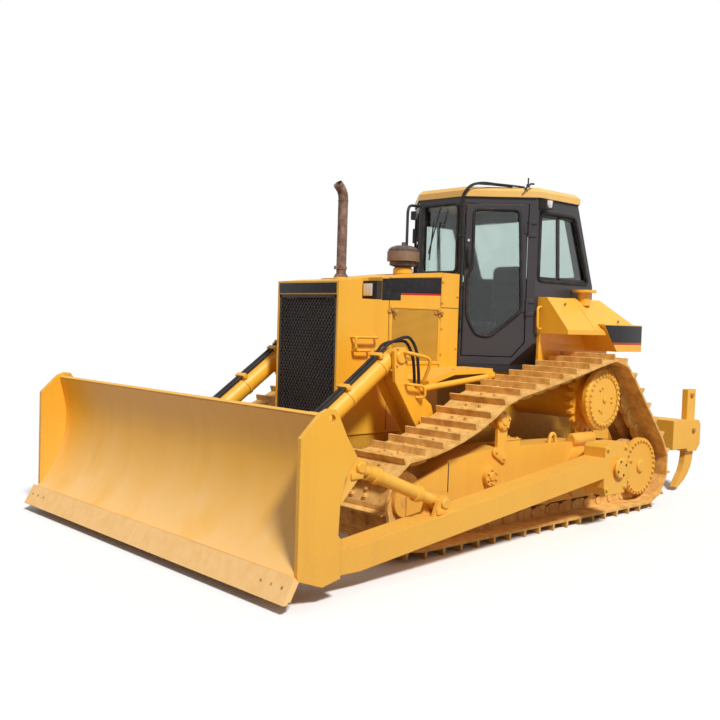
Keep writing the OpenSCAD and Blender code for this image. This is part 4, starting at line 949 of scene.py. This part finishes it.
def dress_cab():
    side_window = [(-0.49, 2.07), (-1.27, 2.07), (-1.02, 2.68), (-0.49, 2.68)]
    beads = [(gasket(side_window, 0.05, 0.015), both([side(0.7515)])),
             (gasket(oblong(-0.21, 2.127, 0.21, 2.74), 0.05, 0.014), [front(0.0015)])]
    lean = math.atan2(0.29, 0.75)
    rise, fall = math.cos(lean), math.sin(lean)
    back = shift(-1.35, 0, 2.05) @ Matrix(((0, fall, -rise, 0), (-1, 0, 0, 0), (0, rise, fall, 0),
                                           (0, 0, 0, 1)))
    beads.append((gasket(oblong(-0.6, 0.08 / rise, 0.6, 0.65 / rise), 0.06, 0.015), [back]))
    piece("window_seals", beads, hose_rubber)
    bars = [slab([(-0.79, 2.08), (-0.83, 2.08), (-0.79, 2.675), (-0.75, 2.675)], 0.02, 0.004),
            slab(oblong(-0.51, 2.085, -0.53, 2.665), 0.012, 0.003),
            slab([(-0.51, 2.64), (-1.04, 2.64), (-1.03, 2.665), (-0.51, 2.665)], 0.012, 0.003),
            slab([(-0.51, 2.085), (-1.245, 2.085), (-1.235, 2.108), (-0.51, 2.108)], 0.012, 0.003)]
    piece("sliding_sash", [(bar, both([side(0.742)])) for bar in bars], black_coat)
    # the handrail stands off the front right corner of the cab
    rail = bent([(-0.02, -0.29, 2.75), (0.1, -0.3, 2.75), (0.125, -0.3, 2.7), (0.125, -0.3, 2.13),
                 (0.0, -0.27, 2.11)], 0.04, 0.013)
    piece("cab_handrail", [(rail, HERE)], black_coat)
    wiper = bent([(0.012, 0.02, 2.71), (0.03, 0.02, 2.7), (0.03, -0.11, 2.3)], 0.02, 0.006, 8)
    blade = slab(oblong(-0.004, 0, 0.004, 0.36), 0.012, 0.002)
    sweep = shift(0.017, -0.105, 2.24) @ Matrix.Rotation(-0.12, 4, "X") @ front(0)
    piece("wiper", [(wiper, HERE), (blade, [sweep])], black_coat)
    trim = slab(oblong(-0.45, 2.79, -1.06, 2.801), 0.012, 0.003)
    drip = slab(oblong(0.01, 2.79, DOOR_LENGTH - 0.02, 2.801), 0.012, 0.003)
    piece("roof_seal", [(trim, both([side(0.762)])), (drip, both([on_door()]))], hose_rubber)
    mast = lathe([(0, 0.085), (0.007, 0.08), (0.007, 0.03), (0.016, 0.026), (0.016, 0), (0, 0)], 16)
    arm = bent([(-0.33, 0.69, 2.865), (-0.36, 0.72, 2.915), (-0.42, 0.715, 2.92)], 0.03, 0.009, 8)
    piece("aerial_bracket", [(mast, [shift(-0.36, 0.7, 2.885)]), (arm, HERE)], black_coat)
    hose("cab_cable_upper", [
        (0.016, 0.262, 1.56), (0.018, 0.262, 1.9), (0.018, 0.262, 2.3), (0.02, 0.262, 2.66),
        (0.022, 0.275, 2.8), (-0.03, 0.31, 2.893), (-0.11, 0.38, 2.925), (-0.2, 0.49, 2.912),
        (-0.3, 0.58, 2.902), (-0.38, 0.645, 2.893)], 0.017)
    hose("cab_cable_lower", [
        (0.016, 0.285, 1.7), (0.018, 0.285, 2.0), (0.018, 0.287, 2.4), (0.021, 0.29, 2.7),
        (0.018, 0.305, 2.82), (-0.04, 0.35, 2.9), (-0.13, 0.42, 2.907), (-0.22, 0.5, 2.9),
        (-0.3, 0.575, 2.893)], 0.014)
    clip = slab(oblong(-0.028, -0.012, 0.028, 0.012), 0.03, 0.004)
    spots = [facing((0.0, 0.272, z), (1, 0, 0), (0, 1, 0)) for z in (1.62, 2.0, 2.45, 2.72)]
    piece("cable_clips", [(clip, spots)], black_plastic)


def swell(form, reach):
    """A form after a short run under pressure, no point moved farther than reach."""
    blank = bpy.data.objects.new("blank", form)
    scene.collection.objects.link(blank)
    skin = blank.modifiers.new("skin", "REMESH")
    skin.mode, skin.voxel_size = "VOXEL", 0.0075

    def shown():
        return bpy.data.meshes.new_from_object(blank.evaluated_get(bpy.context.evaluated_depsgraph_get()))

    start = shown()
    blank.modifiers.clear()
    blank.data = start
    foam = blank.modifiers.new("foam", "CLOTH")
    foam.settings.use_pressure = True
    foam.settings.uniform_pressure_force = 4
    foam.settings.effector_weights.gravity = 0
    for step in range(1, 21):
        scene.frame_set(step)
    swelled = shown()
    for before, after in zip(start.vertices, swelled.vertices):
        move = after.co - before.co
        if move.length > reach:
            after.co = before.co + move * (reach / move.length)
    bpy.data.objects.remove(blank)
    scene.frame_set(1)
    return swelled


def dress_seat():
    def cushion(outline, reach, thick):
        path = rounded([(x, y, 0) for x, y in outline], reach, closed=True)
        return swell(slab([(p.x, p.y) for p in path], thick, 0.02), 0.022)

    squab = cushion(oblong(-0.965, -0.225, -0.545, 0.225), 0.06, 0.085)
    squab.transform(shift(0, 0, 1.583))
    rest = cushion([(-0.215, 1.635), (0.215, 1.635), (0.19, 2.265), (-0.19, 2.265)], 0.09, 0.07)
    rest.transform(front(-1.055))
    # sewn channels, drawn in after the swelling
    for point in squab.vertices:
        if point.co.z > 1.63:
            point.co.z -= 0.012 * sum(math.exp(-((point.co.y - y) / 0.012) ** 2) for y in (-0.12, 0.12))
    for point in rest.vertices:
        if point.co.x > -1.02:
            point.co.x -= 0.01 * sum(math.exp(-((point.co.z - z) / 0.014) ** 2) for z in (1.8, 1.93, 2.06))
    for name, form in (("seat_squab", squab), ("seat_rest", rest)):
        pad = piece(name, [(form, HERE)], seat_cloth, smooth=60)
        pad.modifiers.new("smooth", "SUBSURF").levels = 1
        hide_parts("seat")
    folds = [(0.135 + 0.02 * (k % 2), 1.35 + 0.022 * k) for k in range(9)]
    stand = lathe([(0.0, 1.31), (0.16, 1.31), (0.16, 1.34)] + folds
                  + [(0.16, 1.55), (0.16, 1.575), (0.0, 1.575)], 4)
    stand.transform(shift(-0.76, 0, 0) @ Matrix.Rotation(math.pi / 4, 4, "Z"))
    base = piece("seat_bellows", [(stand, HERE)], hose_rubber)
    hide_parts("seat")


def dress_tanks():
    band = [(-1.045, 1.692), (-1.18, 1.535), (-1.68, 1.535), (-1.68, 1.692)]
    piece("tank_bands", [(slab(band, 0.003, 0.001), both([side(1.1028)]))], black_film)
    line = [(-1.183, 1.532), (-1.196, 1.517), (-1.68, 1.517), (-1.68, 1.532)]
    piece("tank_lines", [(slab(line, 0.003, 0.001), both([side(1.1029)]))], red_film)
    handle = bent([(-0.49, 0.795, 1.835), (-0.44, 0.795, 1.835), (-0.44, 0.8, 1.64), (-0.49, 0.8, 1.64)],
                  0.04, 0.012)
    slope = Vector((0, 0.285, 0.234)).normalized()
    down = Vector((0, 0.234, -0.285)).normalized()
    slots = both([facing(Vector((x, 0.846, 1.925)) + down * s, slope, Vector((0.6, 0, 0)) + down * 0.4)
                  for x, s in ((-0.7, 0.08), (-1.4, 0.26))])
    rim = slab(oblong(-0.035, -0.016, 0.035, 0.016), 0.006, 0.003)
    # the black insert inside each slot rim is painted shade, standing for the dark hollow of the slot
    eye = slab(oblong(-0.026, -0.008, 0.026, 0.008), 0.0075, 0.002)
    piece("tank_fittings", [(handle, both(HERE)), (rim, slots)], body_enamel)
    piece("tank_slot_painted_shade", [(eye, slots)], black_coat)
    weld = tube([Vector((-0.93, 0.848, 1.925)) + down * 0.366 * k / 8 for k in range(9)], 0.006, 8)
    top = tube([(-0.93, 0.76, 1.926), (-0.93, 0.846, 1.926)], 0.006, 8)
    piece("tank_welds", [(weld, both(HERE)), (top, both(HERE))], body_enamel)


def dress_lift():
    pivot, angle = Vector((1.23, 0.65, 1.394)), math.atan2(0.45 - 1.394, 2.55 - 1.23)
    run = Vector((math.cos(angle), 0, math.sin(angle)))
    top = Vector((-math.sin(angle), 0, math.cos(angle)))
    lines = []
    for y, reach in ((0.028, 0.93), (-0.02, 0.86)):
        stations = [(s, 0.097) for s in (0.075, 0.2, 0.5, reach - 0.05, reach)] + [(reach + 0.012, 0.07)]
        path = [pivot + run * s + top * h + Vector((0, y, 0)) for s, h in stations]
        lines.append(bent(path, 0.03, 0.0125, 10))
    strap = slab(oblong(-0.02, -0.06, 0.02, 0.06), 0.042, 0.006)
    clamps = [facing(pivot + run * s + top * 0.073, top, run) for s in (0.12, 0.52, 0.86)]
    gland = lathe([(0.074, 0), (0.086, 0.004), (0.086, 0.05), (0.08, 0.056), (0.08, 0.075), (0.062, 0.082),
                   (0.047, 0.082)], 32)
    band = lathe([(0.074, 0), (0.081, 0.003), (0.081, 0.027), (0.074, 0.03)], 32)
    piece("lift_lines", [(form, both(HERE)) for form in lines], hose_rubber, "lift_barrels")
    piece("lift_clamps", [(strap, both(clamps)), (gland, both([facing(pivot + run * 0.93, run)])),
                          (band, both([facing(pivot + run * s, run) for s in (0.13, 0.52)]))],
          body_enamel, "lift_barrels")
    for hand, way in (("left", 1), ("right", -1)):
        for name, y, lift in (("outer", 0.02, 0.0), ("inner", -0.028, 0.03)):
            start = pivot + run * 0.09 + top * 0.097 + Vector((0, y, 0))
            path = [start, start - run * 0.1 + Vector((0, 0, 0.012))]
            path += [Vector((x, w + y, z)) for x, w, z in (
                (1.13, 0.67, 1.545 - lift), (1.06, 0.68, 1.53 - lift), (1.005, 0.69, 1.44 - lift),
                (0.98, 0.69, 1.32), (0.968, 0.69, 1.2), (0.965, 0.69, 1.075))]
            hose(f"lift_hose_{name}_{hand}", [(p.x, p.y * way, p.z) for p in path], 0.025, swing=(1.0, 1.27))
    pin_cap = button(0.044, 0.05, 0.016, 0.01)
    bolt = hex_bolt(0.016, 0.01)
    spot = (1.23, 0.763, 1.394)
    loops = [bent([(1.207, 0.762, 1.43), (1.207, 0.83, 1.43), (0.985, 0.83, 1.39), (0.967, 0.83, 1.345),
                   (0.967, 0.762, 1.2)], 0.05, 0.014),
             bent([(1.173, 0.762, 1.187), (1.173, 0.82, 1.187), (1.02, 0.82, 1.17), (1.0, 0.82, 1.08),
                   (1.05, 0.762, 1.08)], 0.04, 0.012)]
    piece("bracket_fittings", [(pin_cap, both([outward(spot)])), (bolt, both(ring(spot, 0.075, 3, 0.5)))]
          + [(loop, both(HERE)) for loop in loops], body_enamel)


def dress_steps():
    eye = lathe([(0.02, -0.03), (0.045, -0.03), (0.048, -0.024), (0.048, 0.024), (0.045, 0.03),
                 (0.02, 0.03)], 28)
    head = hex_bolt(0.03, 0.02)
    piece("strut_eyes", [(eye, both([outward((0.115, 0.732, 1.223))])),
                         (head, both([outward((0.115, 0.762, 1.223))])),
                         (hex_bolt(0.016, 0.01),
                          both([facing((x, 0.66, 1.286), (0, 0, 1)) for x in (0.15, 0.32, 0.5)]))],
          body_enamel)


def dress_ripper():
    pocket_x = -2.895
    pin = button(0.02, 0.026, 0.02, 0.014, 20)
    frames = [facing((pocket_x, y + way * off, z), (0, way, 0)) for y in (-0.98, 0.0, 0.98) for way in (1, -1)
              for off, z in ((0.065, 0.62), (0.03, 0.99))]
    piece("shank_pins", [(pin, frames)], bolt_steel, "ripper_tool")


dress_tracks()
dress_undercarriage()
dress_arms_and_blade()
skin_blade()
dress_hood()
dress_grille()
dress_engine_sides()
dress_lamps()
dress_stack()
dress_doors()
dress_cab()
dress_seat()
dress_tanks()
dress_lift()
dress_steps()
dress_ripper()
